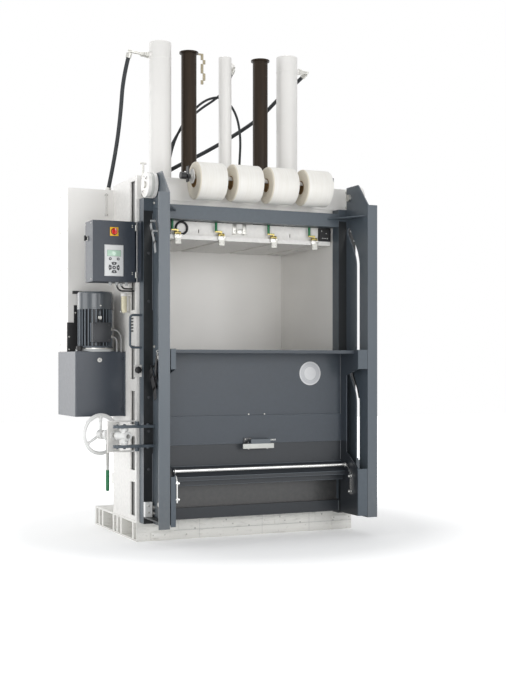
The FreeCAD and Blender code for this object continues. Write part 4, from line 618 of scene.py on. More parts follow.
def bar(mesh, start, end, radius, steps=24, soft=0.0):
    """A round bar between two points, with its rims rounded."""
    start, end = at(start), at(end)
    axis = end - start
    made = cone(mesh, (start + end) / 2, turn_to(axis), radius, radius, axis.length * 1000, steps)
    if soft:
        soften(mesh, [edge for edge in edges_of(made) if edge.calc_face_angle(0.0) > 1.0
                      and abs((edge.verts[0].co - edge.verts[1].co).dot(axis)) < 1e-7], soft)


def bead(mesh, start, end, radius):
    """A weld bead: a low rope of overlapping scales along a joint."""
    start, end = at(start), at(end)
    axis = end - start
    count = max(4, min(64, int(axis.length / 0.012)))
    made = bmesh.ops.create_circle(mesh, cap_ends=False, segments=6, radius=radius / 1000,
                                   matrix=Matrix.Translation(start) @ turn_to(axis))["verts"]
    first = loop = edges_of(made)
    for n in range(count):
        grown = bmesh.ops.extrude_edge_only(mesh, edges=loop)["geom"]
        verts = [item for item in grown if isinstance(item, bmesh.types.BMVert)]
        loop = [item for item in grown if isinstance(item, bmesh.types.BMEdge)]
        bmesh.ops.translate(mesh, verts=verts, vec=axis / count)
        middle = sum((vert.co for vert in verts), Vector()) / len(verts)
        swell = 0.7 if n == count - 1 else 1.22 if n % 2 else 1 / 1.22
        bmesh.ops.scale(mesh, verts=verts, vec=(swell,) * 3, space=Matrix.Translation(-middle))
    for rim in (first, loop):
        bmesh.ops.holes_fill(mesh, edges=rim, sides=0)


def hex_bolt(mesh, centre, axis, size, washer=True):
    """A hexagon head on its washer, with its under side on the centre."""
    centre, axis = at(centre), Vector(axis).normalized()
    turn, reach, base = turn_to(axis), axis * size / 1000, 0.18 if washer else 0.0
    if washer:
        cone(mesh, centre + reach * 0.09, turn, size, size * 0.97, size * base, 20)
    head = cone(mesh, centre + reach * (base + 0.25), turn, size * 0.62, size * 0.62, size * 0.5, 6)
    top = size * (base + 0.4) / 1000
    soften(mesh, [edge for edge in edges_of(head) if len(edge.link_faces) == 2 and edge.calc_face_angle() > 1.2
                  and all((vert.co - centre).dot(axis) > top for vert in edge.verts)], size * 0.08, 1)


def panhead(mesh, centre, axis, size):
    """A domed screw head with a round sunk socket, standing on its centre."""
    dome = ((0, 1), (0.28, 0.98), (0.5, 0.8), (0.6, 0.48), (0.36, 0.42), (0.36, 0))
    turned(mesh, [(size * along, size * out) for along, out in dome], centre, axis, 18)


def row(kind, places, axis, *measures):
    """The same screw, bolt or ring at several places."""
    return [(kind, place, axis, *measures) for place in places]


def piece_from(name, mesh, finish, body, smooth=30, replaces=()):
    """Turn a finished bmesh into a piece that rides on a body."""
    bmesh.ops.recalc_face_normals(mesh, faces=mesh.faces)
    data = bpy.data.meshes.new(name)
    mesh.to_mesh(data)
    mesh.free()
    piece = placed(name, data)
    data.materials.append(finish)
    data.polygons.foreach_set("use_smooth", [True] * len(data.polygons))
    data.set_sharp_from_angle(angle=math.radians(smooth))
    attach(piece, body)
    if replaces:
        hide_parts(*replaces)
    return piece


def group(name, finish, body, *shapes, slot=None, smooth=30):
    """One piece made of shapes, each given as its maker and the measures it takes."""
    mesh = bmesh.new()
    for make, *measures in shapes:
        make(mesh, *measures)
    return piece_from(name, mesh, finishes[finish], body, smooth)


# --- strap rolls ---
def strap_roll(number):
    """Wound strap with softly rounded edges and a dished end, on a card core that stands out on the right."""
    name = "strap_roll_%d" % number
    centre_x = -319.5 + 240 * (number - 1)
    centre = (centre_x, ROLL_DEPTH, ROLL_Z)
    half, right = 97.5, 85.5
    strap = wound_strap(centre_x / 1000)
    coat(name, strap)
    ends = ((3, 42), (0.6, 52), (0, 75), (0.3, 104), (2.2, 111.2), (7.5, 113.8))
    profile = ([(inset - half, radius) for inset, radius in ends] + [(0, 114)]
               + [(right - inset, radius) for inset, radius in reversed(ends)])
    mesh = bmesh.new()
    hoop(mesh, profile, centre, X, 72)
    piece_from("wound_" + name, mesh, strap, name, replaces=(name,))
    group("core_" + name, "card_core", name,
          (hoop, [(-half, 38.1), (-half, 41.8), (half, 41.8), (half, 38.1)], centre, X))


for number in range(1, 5):
    strap_roll(number)

# --- control box ---
KEY_Z = 1654
KEY_ANGLES = (0, 90, 180, 270)
SWITCH_X, SWITCH_Z = -879, 1870


def curved_key(mesh, centre_angle, sweep=62):
    """One of the four keys that lie round the middle key."""
    centre = at((KEYPAD_X, 0, KEY_Z))
    start = math.radians(centre_angle - sweep / 2)
    out = Vector((math.cos(start), 0, math.sin(start)))
    corners = [centre + out * (r / 1000) + Y * (y / 1000)
               for r, y in ((17, -3.6), (17, -5.2), (18.2, -6.2), (32.5, -6.2), (34, -5.2), (34, -3.6))]
    points = [mesh.verts.new(corner) for corner in corners]
    edges = [mesh.edges.new(pair) for pair in zip(points, points[1:] + points[:1])]
    swept = bmesh.ops.spin(mesh, geom=points + edges, cent=centre, axis=-Y, angle=math.radians(sweep), steps=10,
                           use_duplicate=False)
    last = [item for item in swept["geom_last"] if isinstance(item, bmesh.types.BMEdge)]
    for rim in (edges, last):
        bmesh.ops.holes_fill(mesh, edges=rim, sides=0)


def key_mark(mesh, angle):
    """A plain wedge mark on one of the four keys."""
    across, rise = polar(26, angle)
    turn = Matrix.Rotation(math.radians(90 - angle), 4, "Y") @ Matrix.Rotation(QUARTER_TURN, 4, "X")
    cone(mesh, (KEYPAD_X + across, -6.4, KEY_Z + rise), turn, 5.2, 5.2, 0.6, 3)


group("keypad_case", "panel_film", "control_door", (slab, (-938.5, -4, 1603), (-821.5, 0.2, 1790), 1.2))
group("keypad_window", "display_glass", "control_door", (slab, (-922, -4.7, 1723), (-838, -3, 1758), 0.4))
group("keypad_frame", "key_dark", "control_door", (border, (-923.2, -4.5, 1721.8), (-836.8, -3.2, 1759.2), 1))
group("keypad_keys", "key_dark", "control_door", *((curved_key, angle) for angle in KEY_ANGLES),
      *((turned, [(3.4, 8.8), (5.4, 8.6), (6.3, 7.4), (6.6, 0)], (x, 0, 1706), -Y, 28) for x in (-904, -855)),
      (turned, [(3.4, 11.2), (5.6, 10.9), (6.4, 9.8), (6.6, 0)], (KEYPAD_X, 0, KEY_Z), -Y, 28), smooth=40)
group("keypad_marks", "panel_film", "control_door", *((key_mark, angle) for angle in KEY_ANGLES),
      *((bar, (x, -6.2, z), (x, -6.9, z), radius, 16)
        for x, z, radius in ((-904, 1706, 3.4), (-855, 1706, 3.4), (KEYPAD_X, KEY_Z, 4.2))))
piece = group("switch_plate", "switch_yellow", "control_door", (slab, (-905, -5, 1844), (-853, 0.2, 1896), 1.2))
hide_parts("panel_plates")
group("switch_collar", "black_plastic", "control_door",
      (hoop, [(4.5, 17.2), (5.8, 17.6), (6.2, 19), (5.6, 20.8), (4.5, 21.2)], (SWITCH_X, 0, SWITCH_Z), -Y, 40))
group("switch_pointer", "wheel_paint", "switch_knob", (slab, (-880.2, -34.8, 1874), (-877.8, -33.6, 1886), 0.3))
group("switch_ribs", "switch_red", "switch_knob",
      *((bar, (SWITCH_X + x, -14.2, SWITCH_Z + z), (SWITCH_X + x, -6.4, SWITCH_Z + z), 1.5, 8)
        for x, z in (polar(16.6, angle) for angle in range(0, 360, 30))))
group("box_seal", "black_plastic", "control_door", (border, (-1007.5, 16.2, 1573.5), (-751.5, 20.4, 1931.5), 3))
GLANDS = ((-848, 44), (-810, 78), (-884, 60), (-786, 50))
group("lead_glands", "gear_grey", "frame", *((bar, (x, y, 1570.5), (x, y, 1563), 11, 6, 1) for x, y in GLANDS),
      *((turned, [(0, 8.8), (10, 8.4), (12.5, 6.2), (12.5, 0)], (x, y, 1563.4), -Z, 24) for x, y in GLANDS))
group("box_edge_plate", "box_paint", "frame", (slab, (-739.4, -1, 1570), (-737.9, 60, 1935), 0.3))
group("box_screws", "zinc_plate", "frame", *row(panhead, product([-1011], (36, 146), (1585, 1920)), -X, 4.2))
group("hinge_screws", "zinc_plate", "control_door",
      *row(panhead, product([-764], [-0.1], (1617, 1627, 1901, 1911)), -Y, 3.4))
group("lock_rose", "zinc_plate", "frame",
      (hoop, [(-0.2, 12.2), (-0.2, 16.5), (1.8, 15.8), (2.4, 13.2)], (-1011, 122, 1836), -X, 32))


# --- power pack ---
def round_motor(radius, angles, z):
    """Places round the motor's axis, each with the way it faces."""
    for across, back in (polar(radius, angle) for angle in angles):
        yield (MOTOR_X + across, MOTOR_DEPTH + back, z), (across, back, 0)


group("plate_step", "black_plastic", "frame", (slab, (-1010, 452, 1519), (-931, 460.5, 1538), 0.8))
group("cowl_bands", "motor_gloss", "frame",
      *((hoop, [(0, 110.5), (0, 112.2), (3, 112.6), (6, 112.2), (6, 110.5)], (MOTOR_X, MOTOR_DEPTH, z), Z, 64)
        for z in (1419.5, 1505)), slot="motor_plastic")
group("cowl_screws", "zinc_plate", "frame",
      *((panhead, place, out, 5.4) for place, out in round_motor(110.6, (-88, 2, 92, 182), 1437)))
group("lifting_eye", "motor_gloss", "frame", (ring, (-900, 232, 1390), X, 17, 4.6),
      (bar, (-900, 254, 1368), (-900, 230, 1368), 8, 24, 1), (bar, (-900, 258, 1372), (-900, 236, 1386), 5, 12),
      smooth=40)
group("eye_bolt", "zinc_plate", "frame", (hex_bolt, (-898, 231, 1363), -Y, 12.5))
group("terminal_lid", "motor_plastic", "frame", (slab, (-955, 190.5, 1210), (-837, 198, 1332), 3.2, 3),
      (slab, (-947, 188.6, 1218), (-845, 191, 1324), 1.6))
group("terminal_screws", "key_dark", "frame", *row(panhead, product((-939, -853), [188.8], (1226, 1316)), -Y, 4.4))
group("conduit_nuts", "zinc_plate", "frame",
      *((cone, (x, 236, z), Matrix.Rotation(QUARTER_TURN, 4, "Y"), size, size, depth, 6)
        for z in (1292, 1246) for x, size, depth in ((-833.5, 12.8, 8), (-823.5, 11.2, 6))))
group("flange_bolts", "zinc_plate", "frame",
      *((hex_bolt, place, Z, 10.5)
        for place, out in round_motor(104, (-112, -68, -22, 22, 68, 112, 158, 202), 1175)))
group("motor_bell", "motor_paint", "frame",
      (hoop, [(0, 94), (0, 108.5), (2.7, 110.5), (8.2, 110.5), (13.2, 107.5), (14.5, 94)],
       (MOTOR_X, MOTOR_DEPTH, 1174.8), Z, 64))
group("motor_foot_ring", "gear_grey", "frame",
      (hoop, [(0, 112), (0, 120), (1.6, 121.2), (13.4, 121.2), (15.2, 119.6), (15.6, 112)],
       (MOTOR_X, MOTOR_DEPTH, 1153.4), Z, 72), slot="zinc_steel")

group("tank_lid_seams", "box_paint", "frame",
      *((bar, (-1040, depth, 1153.4), (-750, depth, 1153.4), 2.2, 8) for depth in (250, 656)))
group("tank_lid_bolts", "zinc_plate", "frame",
      *row(hex_bolt, product((-1025, -930, -850, -765), [640], [1153]), Z, 8))
group("level_gauge", "zinc_plate", "frame", (slab, (-1006, 662.6, 860), (-974, 665.6, 1010), 1.4),
      *((bar, (-990, 662, z), (-990, 668, z), 8, 20, 0.8) for z in (868, 1002)))
group("gauge_glass", "display_glass", "frame", (slab, (-995, 664.5, 882), (-985, 668, 988), 1))
group("cam_lock_rim", "turned_steel", "frame",
      (turned, [(3.5, 15.2), (5, 14.9), (6.2, 13.5), (5, 11.8), (5, 0)], (-898, 240, 1101), -Y, 36))
group("cam_lock_key", "black_plastic", "frame", (slab, (-903.5, 233.2, 1099.2), (-892.5, 235.4, 1102.8), 0.5))
group("drain_plug", "turned_steel", "frame", (hex_bolt, (-900, 663, 782), Y, 14))

# --- side cabinet and filter ---
FILTER_X, FILTER_DEPTH = -775, 131
group("filter_bowl", "cream_plastic", "frame",
      *((hoop, [(-3, 16.8), (-2, 18.2), (2, 18.2), (3, 16.8)], (FILTER_X, FILTER_DEPTH, z), Z, 36)
        for z in (1396, 1470, 1482)),
      (turned, [(0, 0), (0, 7), (5.7, 10.5), (5.7, 0)], (FILTER_X, FILTER_DEPTH, 1388.5), Z, 24))
group("filter_stay", "turned_steel", "frame", (bar, (-796, FILTER_DEPTH, 1398), (-738, FILTER_DEPTH, 1396), 3.2, 12),
      (turned, [(0, 0), (0, 6), (4, 8.5), (9, 8.5), (13, 6), (13, 0)], (-801, FILTER_DEPTH, 1398), X, 20))
group("cabinet_pipe", "turned_steel", "frame", (bar, (-787, 462, 2022), (-787, 462, 2166), 4.5, 16),
      *((slab, (-797, 458, z - 5), (-777, 468.2, z + 5), 1) for z in (2030, 2156)))
COVER_LEVELS = (1200, 1440, 1680, 1920, 2150)
group("cabinet_screws", "zinc_plate", "frame",
      *row(panhead, product([-1036], (486, 648), COVER_LEVELS), -X, 4.6),
      *row(panhead, product((-1012, -640), [666], COVER_LEVELS), Y, 4.6))
group("cabinet_louvres", "white_paint", "frame",
      *((slab, (-930, 665.2, z), (-740, 670.5, z + 9), 2.4) for z in range(1880, 2096, 24)))
group("back_plate_screws", "zinc_plate", "frame",
      *row(panhead, ((-1030, 460, 1248), (-1030, 460, 1168), (-990, 460, 1400), (-780, 460, 1500),
                     (-780, 460, 1300), (-780, 460, 1180)), -Y, 5))

# --- frame ---
RIB_LEVELS = (315, 699, 1083, 1467, 1851)
group("base_screws", "turned_steel", "frame",
      *row(panhead, ((-359, 0, 63), (5, 0, 61), (364, 0, 61), (603, 0, 61), (-560, 0, 82), (-150, 0, 104),
                     (220, 0, 104), (520, 0, 104)), -Y, 5))
group("head_bolts", "zinc_plate", "frame", *row(hex_bolt, product((-675, 675), (40, 150, 300, 428), [2217]), Z, 12),
      *row(hex_bolt, product((-700, 700), [-6], (2098, 2195)), -Y, 10),
      *row(hex_bolt, product((-560, -186, 186, 560), [795], [2100]), Y, 12))
group("frame_welds", "white_paint", "frame", *(
    (bead, (side * start[0], *start[1:]), (side * end[0], *end[1:]), radius) for side in SIDES
    for start, end, radius in (
        ((738.6, 20, 125), (738.6, 448, 125), 2.8), ((727, -1.2, 125), (624, -1.2, 125), 2.6),
        ((612, 793, 2044), (612, 793, 2210), 2.6),
        *(((600, 838, z - 33), (560, 838, z - 33), 2.4) for z in RIB_LEVELS))))
group("fascia_folds", "white_paint", "frame",
      *((slab, (-736, -7.6, z), (736, -5.6, z + 5.5), 0.7) for z in (2077.5, 2210)))
group("column_vent", "key_dark", "frame",
      *((slab, (-739, 60, z), (-726, 110, z + 11), 1.5) for z in range(1272, 1367, 19)))
group("roll_stop_knob", "black_plastic", "frame", (slab, (-452, -132, 2180), (-446, -88, 2276), 2.4, 3),
      (turned, [(0, 0), (0, 13), (3, 16.5), (14, 16.5), (18, 12), (18, 0)], (-466, -150, 2208), X, 10))
group("axle_clips", "zinc_plate", "frame",
      *row(ring, product((-436, -205.5, 34.5, 274.5, 505), [ROLL_DEPTH], [2213.7]), X, 13.5, 2.4, 24))
group("floor_welds", "chamber_floor", "frame",
      *((bead, (x, 4, 150.4), (x, 776, 150.4), 1.6) for x in (-326, 0, 326)))
group("rear_bolts", "zinc_plate", "frame", *row(hex_bolt, product((-520, -180, 180, 520), [792], RIB_LEVELS), Y, 10))

# Sealed joints between the base's front plates, and the small plates screwed to its ends.
group("base_joint_seals", "gear_grey", "frame", (slab, (-500, -8.5, 57.2), (738, -7.6, 58.6)),
      *((slab, (x, -8.5, 4), (x + 1.2, -7.6, 119)) for x in (-332, 92, 424)))
group("base_end_plates", "base_paint", "frame", (slab, (-648, -11, 18), (-548, -7.8, 52), 1),
      (slab, (588, -11, 66), (728, -7.8, 92), 1))
group("base_plate_screws", "zinc_plate", "frame",
      *row(panhead, ((-636, -11, 35), (-560, -11, 35), (602, -11, 79), (714, -11, 79), (-110, -11, 79),
                     (250, -11, 79), (-420, -11, 30)), -Y, 4.6))

# --- cylinders ---
PRESS_CYLINDERS, CYLINDER_DEPTH = (-452, 452), 380
FOOT_COLLAR = [(0, 70), (0, 81.5), (4.2, 83), (15.2, 80), (19.2, 73.5), (20, 70)]
TOP_BAND = [(0, 70.8), (0.5, 72.2), (3.5, 72.8), (6.5, 72.2), (7, 70.8)]
THIN_COLLAR = [(0, 42), (0, 53), (4.2, 54), (11.2, 51), (15.2, 44), (15.8, 42)]
group("barrel_collars", "white_paint", "frame",
      *((turned, FOOT_COLLAR, (x, CYLINDER_DEPTH, 2240.8), Z, 64) for x in PRESS_CYLINDERS),
      *((hoop, TOP_BAND, (x, CYLINDER_DEPTH, 3040), Z, 64) for x in PRESS_CYLINDERS),
      (turned, THIN_COLLAR, (0, CYLINDER_DEPTH, 2240.8), Z), smooth=40)
group("crown_plugs", "zinc_plate", "frame",
      *((turned, [(-3.5, 0), (-3.5, 18), (-1.2, 17.5), (-0.4, 15.5), (-0.4, 0)], (x, CYLINDER_DEPTH, 3147), Z, 6)
        for x in PRESS_CYLINDERS))


def hose_nut(mesh, seat, axis, radius, height):
    """A hexagon nut that stands on a hose fitting's seat; radius is half its width across the flats."""
    cone(mesh, at(seat) + axis * height / 2000, turn_to(axis), radius / 0.866, radius / 0.9, height, 6)


group("hose_nuts", "zinc_plate", "frame", *((hose_nut, *nut) for nut in (
    ((-533, 380, 3060), -X, 19.5, 15), ((533, 380, 3060), X, 19.5, 15), ((-552, 380, 3060), -X, 16.5, 12),
    ((-568, 380, 3060), -X, 14.5, 18), ((552, 380, 3060), X, 16.5, 12), ((52.5, 380, 3048), X, 12.6, 9),
    ((-745, 564, 2190), Z, 20.5, 10), ((-519, 574, 2217), Z, 20.5, 10), ((-408, 527, 2217), Z, 12.8, 6.4),
    ((-368, 513, 2217), Z, 12.8, 6.4), ((122, 449, 2217), Z, 12.8, 6.4))))

# --- platen ---
group("guide_block_pips", "wheel_paint", "platen",
      *((bar, (x, 12.2, z), (x, 11.2, z), 2.6, 12)
        for x, z in ((532, 1893), (544, 1893), (556, 1893), (568, 1893), (526, 1940), (560, 1925))),
      slot="white_paint")
BRACKETS = ((-92, -66), (-22, 2))
group("platen_brackets", "zinc_plate", "platen",
      *((slab, (x0, 33, 1892), (x1, 38.2, 1958), 1.2) for x0, x1 in BRACKETS),
      *((slab, (x0, 16, 1892), (x1, 34, 1896), 1) for x0, x1 in BRACKETS),
      *row(panhead, product((-79, -10), [33], (1940, 1915)), -Y, 4.5),
      (slab, (-64, 26, 1898), (-24, 30, 1924), 1.2))
STRAP_LINES = (-470, -180, 180, 470)
group("clamp_plates", "zinc_plate", "platen",
      *((slab, (x - 24, -3, 1850), (x + 24, -0.8, 1874), 1) for x in STRAP_LINES),
      *((slab, (x + 8, -8.6, 1864), (x + 30, 0.2, 1872.5), 1.4) for x in STRAP_LINES),
      *row(panhead, ((x + shift, -1, 1832) for x in STRAP_LINES for shift in (-12, 12)), -Y, 3.8),
      slot="clamp_brass")
group("cap_bolts", "zinc_plate", "platen",
      *row(hex_bolt, ((x + across, CYLINDER_DEPTH + back, 3105.6) for x in (-255, 255)
                      for across, back in (polar(36, angle) for angle in (30, 150, 270))), Z, 8.5, False))
group("sole_screws", "turned_steel", "platen",
      *((turned, [(0.3, 0), (0.3, 7.5), (-0.7, 9), (-0.7, 0)], place, -Z, 20)
        for place in product((-540, -325, 0, 325, 540), (60, 400, 730), [1846])))


# --- door ---
def guard_strip(mesh, side, points, wide):
    """A bent strip, 3 mm thick, that stands off a cheek and passes through points of depth and height."""
    for first, last in zip(points, points[1:]):
        start, end = at((side * 690, *first)), at((side * 690, *last))
        along = end - start
        turn = Matrix.Rotation(math.atan2(along.z, along.y), 4, "X")
        block(mesh, (start + end) / 2, (0.003, along.length + 0.016, wide / 1000), 1, 1, turn)


def guards(name, finish, points, wide, studs):
    """A guard strip on each cheek, on two studs."""
    group(name, finish, "door", *((guard_strip, side, points, wide) for side in SIDES),
          *((bar, (side * 663, *stud), (side * 692, *stud), 6, 14) for side in SIDES for stud in studs))


group("door_bolts", "key_dark", "door", *row(hex_bolt, product([-690], [-88], (876, 674, 444, 1452, 1740)), -Y, 9.5),
      *row(hex_bolt, product([690], [-88], (300, 900, 1500, 1850)), -Y, 9.5),
      *row(hex_bolt, product([-663], [-330], (410, 650, 1000)), X, 8.8),
      *row(hex_bolt, product([-663], [-228], (1250, 1600, 1980)), X, 8.8))
group("cheek_studs", "zinc_plate", "door",
      *((hex_bolt, (side * 663, -110, z), X * side, 9.5) for side in SIDES for z in (148, 1180, 2040)))
group("door_welds", "post_paint", "door", *(
    (bead, (side * x, y0, z0), (side * x, y1, z1), radius) for side in SIDES
    for x, y0, z0, y1, z1, radius in (
        (665, -89, 2003, -330, 2003, 2.4), (666, -89.2, 140, -89.2, 540, 2.4), (666, -89.2, 1400, -89.2, 1980, 2.4),
        (596, -89, 1960, -89, 2040, 2.4), (596, -89, 136, -89, 200, 2.4), (664.5, -358, 600, -358, 1400, 2))))
guards("slot_guards", "black_plastic", ((-208, 874), (-188, 930), (-140, 1006), (-122, 1040)), 52,
       ((-168, 1000), (-128, 1062)))
guards("upper_slot_guides", "gear_grey", ((-208, 1740), (-190, 1796), (-146, 1870), (-124, 1906)), 26,
       ((-168, 1866), (-128, 1930)))
group("slot_guide_nuts", "black_plastic", "door",
      *((hex_bolt, (side * 688.5, depth, z), X * -side, 11)
        for side in SIDES for depth, z in ((-176, 1836), (-200, 1800))))
group("gas_spring", "black_plastic", "door", (bar, (-672, -180, 1111), (-672, -150, 930), 8.5, 20, 1.2),
      (bar, (-672, -150, 930), (-672, -142, 880), 4.2, 16), (ring, (-672, -182, 1122), X, 9, 3.4, 24),
      (ring, (-672, -141, 872), X, 7, 3, 24), smooth=40)
group("spring_studs", "zinc_plate", "door", *row(hex_bolt, ((-663.2, -182, 1122), (-663.2, -141, 872)), -X, 8.5))
group("cord_hook", "zinc_plate", "door", (slab, (-678, -206, 1108), (-664, -200, 1146), 1.2),
      (ring, (-672, -203, 1150), Y, 8, 2.6, 24))
group("star_knob", "black_plastic", "door",
      *((bar, (x - 746, -65.5, 1040 + z), (x - 746, -53, 1040 + z), 4.2, 14)
        for x, z in (polar(17.4, angle) for angle in range(0, 360, 45))),
      (turned, [(0, 0), (0, 19), (1.6, 18.8), (3, 14), (4.2, 8), (4.5, 0)], (-746, -64, 1040), -Y, 36), smooth=40)
group("ring_bolt_heads", "zinc_plate", "door", *row(panhead, product([-700], [-118], (190, 228)), -Y, 5.5),
      *row(hex_bolt, product([-690], [-103], (180, 216)), X, 7.8),
      *row(ring, product([-669], [-103], (180, 216)), X, 9.5, 3.3, 28))
group("panel_studs", "panel_paint", "door",
      *row(hex_bolt, product((-430, 0, 430), [-8], (240, 660, 1110)), Y, 8, False))

# --- balancer drums ---
DRUM_DEPTH, DRUM_Z = -127, 2143
for side, body in ((-1, "drum_left"), (1, "drum_right")):
    group(body + "_marks", "black_plastic", body,
          *row(hex_bolt, ((side * 734, DRUM_DEPTH - 30, DRUM_Z + 32), (side * 734, DRUM_DEPTH + 26, DRUM_Z - 38)),
               X * side, 6, False),
          *((turned, [(0.4, 0), (0.4, 6), (-1, 6.6), (-1, 0)], (side * 727, DRUM_DEPTH + across, DRUM_Z + rise),
             X * side, 16) for across, rise in (polar(55, angle) for angle in (70, 130, 310))))
    group(body + "_belt", "grip_light", body,
          (hoop, [(-7.5, 70.2), (-7.5, 72.8), (-6.8, 73.5), (6.8, 73.5), (7.5, 72.8), (7.5, 70.2)],
           (side * 698, DRUM_DEPTH, DRUM_Z), X, 64), slot="white_paint")

# --- loading flap ---
group("round_plate", "ringed_plate", "flap",
      (turned, [(0, 0), (0, 73.5), (0.7, 74.5), (1.2, 73.5), (1.2, 0)], (DISC_X, -138, DISC_Z), -Y, 72))
group("grip_strip", "grip_light", "flap", (slab, (-118, -193, 557), (90, -184, 587), 2.4, 3))
group("grip_bracket", "key_dark", "flap", (slab, (-98, -153, 586), (-44, -145.6, 622), 1.6),
      *((slab, (x - 5, -186, 574), (x + 5, -146, 600), 1.4) for x in (-80, 46)))
group("grip_top", "gear_grey", "flap", (slab, (-26, -152, 600), (122, -145.8, 611), 1.6))
group("flap_rivets", "zinc_plate", "flap", *row(panhead, ((-58, -138, 766), (49, -138, 766)), -Y, 5),
      *row(panhead, ((-86, -153, 613), (-56, -153, 613), (98, -152, 605.5)), -Y, 3.8),
      *((turned, [(0, 0), (0, 5.5), (3, 5), (4.5, 3), (4.5, 0)], (x, -188, 557), -Z, 14) for x in (-80, 46)))
group("flap_folds", "post_paint", "flap",
      *((bar, (-618, depth, z), (586, depth, z), radius, 10)
        for depth, z, radius in ((-312, 1159, 1.8), (-312, 1142, 1.8), (-145.5, 759, 1.6), (-145.5, 589, 1.6),
                                 (-138.5, 458, 2), (-195.5, 398, 2.2), (-195.5, 377, 1.8), (-161.5, 373, 1.8),
                                 (-161.5, 344, 1.8))), smooth=60)
group("side_strip", "post_paint", "flap", (slab, (-566, -150, 1046), (-546, -137.5, 1152), 1.8))
group("rail_ends", "bright_steel", "flap",
      *((hex_bolt, (side * 570, -277, z), X * -side, 9.5) for side in SIDES for z in (373, 278)),
      *((turned, [(0, 0), (0, 12.5), (2, 14.5), (9, 14.5), (11, 12.5), (11, 0)], (side * 578, -220, 440),
         X * -side, 24) for side in SIDES))
group("flap_welds", "panel_paint", "flap",
      *((bead, (x, -139, 470), (x, -139, 1150), 2.2) for x in (584.5, -616.5)),
      (bead, (-600, -313.5, 1142), (580, -313.5, 1142), 1.4))
group("pin_washers", "black_plastic", "flap",
      *((hoop, [(-0.5, 21.5), (-0.5, 26), (2, 27.5), (6.5, 27.5), (8.5, 26), (8.5, 12.5)],
         (side * 672.5, -238, z), X * side, 36) for side in SIDES for z in (1114, 248)), smooth=40)

# --- door lock ---
LOCK, ACROSS = Vector((0.292372, -0.956305, 0.0)), Vector((0.956305, 0.292372, 0.0))
WHEEL, RATCHET = -254, -178


def on_lock(distance, rise=0.0, across=0.0):
    """A point along the lock's spindle, measured forwards from the nut block, in millimetres."""
    return at((-846, -100, 648)) + (LOCK * distance + ACROSS * across + Z * rise) / 1000


group("wheel_hub_sleeve", "wheel_paint", "handwheel",
      (turned, [(28.5, 0), (28.5, 12.5), (30, 14.5), (36, 14.5), (38.5, 12.5), (38.5, 0)], on_lock(WHEEL - 48),
       LOCK, 6),
      (hoop, [(-10.5, 24.5), (-10.5, 28.5), (-7, 30), (26, 29), (30.2, 26.2), (30.2, 24.5)], on_lock(WHEEL),
       LOCK, 40), smooth=40)
group("spoke_roots", "wheel_paint", "handwheel",
      *((ball, on_lock(WHEEL, rise, across), 13.2)
        for across, rise in (polar(104, angle) for angle in (90, 210, 330))), smooth=60)
group("ratchet_head", "wheel_paint", "ratchet_lever",
      (hoop, [(-13.5, 27.5), (-13.5, 31.5), (-11, 33.5), (11, 33.5), (12.5, 31.5), (12.5, 27.5)],
       on_lock(RATCHET), LOCK, 12),
      (cone, on_lock(RATCHET, -40), Matrix(), 15, 12.5, 34, 20), smooth=40)
group("arm_bolts", "post_paint", "door",
      *((hex_bolt, (x, -100, z), Z * up, size)
        for z, up in ((579, -1), (712, 1)) for x, size in ((-846, 12.5), (-700, 12.5), (-890, 9.5))))
group("nut_collars", "wheel_paint", "door",
      *((hoop, [(0, 23.2), (0, 26.2), (2, 27.5), (8, 27.5), (10, 26.2), (10, 23.2)], on_lock(distance), LOCK, 40)
        for distance in (-69, 30)),
      *((hoop, [(0, 17.8), (0, 22.5), (3, 23.5), (11, 23.5), (14, 22.5), (14, 17.8)], (-846, -100, z), Z, 32)
        for z in (603, 679)), smooth=40)
group("bracket_bolts", "zinc_plate", "frame",
      *row(hex_bolt, (on_lock(-118.5, rise, across) for rise in (-78, 64) for across in (-30, 30)), -LOCK, 8.5))
group("bracket_welds", "white_paint", "frame",
      *((bead, (-738.5, 4, z), (-738.5, 44, z), 2.2) for z in (555, 736)))
group("lever_grip_ribs", "green_plastic", "ratchet_lever",
      *((hoop, [(-3, 10.5), (-2, 11.8), (2, 11.8), (3, 10.5)], on_lock(RATCHET, -226 - 14 * n), Z, 24)
        for n in range(6)), smooth=50)


# --- light and floor ---
def seen(tree):
    """1 for the rays that show a surface to the camera, straight or by way of metal and glass."""
    ray = tree.nodes.new("ShaderNodeLightPath")
    value = Value(tree, ray.outputs["Is Camera Ray"])
    for name in ("Is Glossy Ray", "Is Transmission Ray"):
        value = value.math("MAXIMUM", Value(tree, ray.outputs[name]))
    return value


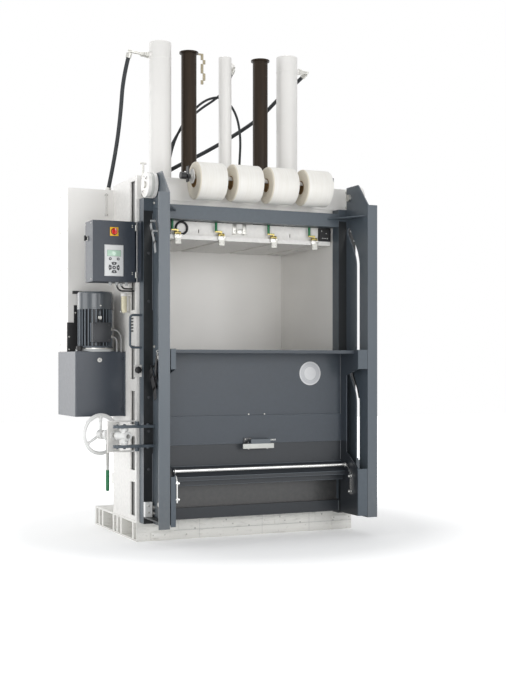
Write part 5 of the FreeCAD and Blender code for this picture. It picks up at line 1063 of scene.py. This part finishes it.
def studio():
    """An even pale studio: white to the camera and in every reflection, softer where it lights the machine."""
    world = bpy.data.worlds.new("studio")
    bpy.context.scene.world = world
    world.use_nodes = True
    tree = world.node_tree
    soft, white = tree.nodes["Background"], tree.nodes.new("ShaderNodeBackground")
    soft.inputs["Color"].default_value = (0.95, 0.97, 1.0, 1.0)
    soft.inputs["Strength"].default_value = 0.40
    white.inputs["Color"].default_value = (1.0, 1.0, 1.0, 1.0)
    white.inputs["Strength"].default_value = 1.0
    mix = tree.nodes.new("ShaderNodeMixShader")
    for number, socket in enumerate((seen(tree).socket, soft.outputs[0], white.outputs[0])):
        tree.links.new(socket, mix.inputs[number])
    tree.links.new(mix.outputs[0], tree.nodes["World Output"].inputs[0])


def lamp(name, place, aim, power, *size):
    data = bpy.data.lights.new(name, "AREA")
    data.energy = power
    data.shape = "RECTANGLE"
    data.size, data.size_y = size
    item = placed(name, data)
    item.location = place
    item.rotation_euler = (Vector(aim) - Vector(place)).to_track_quat("-Z", "Y").to_euler()


def floor():
    """A pale floor that keeps the machine's shadow and runs out into the white background."""
    mesh = bmesh.new()
    bmesh.ops.create_grid(mesh, x_segments=1, y_segments=1, size=14.0)
    data = bpy.data.meshes.new("studio_floor")
    mesh.to_mesh(data)
    mesh.free()
    item = placed("studio_floor", data)
    f = Finish("studio_floor")
    away = ((square_sum(f.x, f.y) ** 0.5 - 1.3) / 1.6).clamp()
    glow = f.mix(seen(f.tree) * (away * 0.75 + 0.25), (0.0, 0.0, 0.0), (1.0, 1.0, 1.0))
    data.materials.append(f.finish(Base_Color=f.mix(f.noise(0.6, 2.0), (0.92, 0.92, 0.915), (0.95, 0.95, 0.945)),
                                   Roughness=0.8, Emission_Color=glow, Emission_Strength=1.0))
    item.location = (0, 0, -0.0005)


studio()
lamp("key", (1.8, -6.6, 2.2), (0, 0, 1.5), 112, 3.0, 3.0)
lamp("fill", (-3.4, -6.2, 1.3), (0, 0, 1.5), 100, 3.2, 2.6)
lamp("rim", (-4.2, 4.4, 2.2), (-0.8, 0, 1.3), 92, 3.6, 3.6)
lamp("side", (-5.4, -0.6, 2.2), (-0.6, 0, 1.3), 62, 3.0, 3.0)
lamp("top", (0.4, 0.4, 5.6), (0, 0, 1.0), 55, 3.0, 3.0)
floor()

bpy.context.scene.view_settings.view_transform = "Standard"
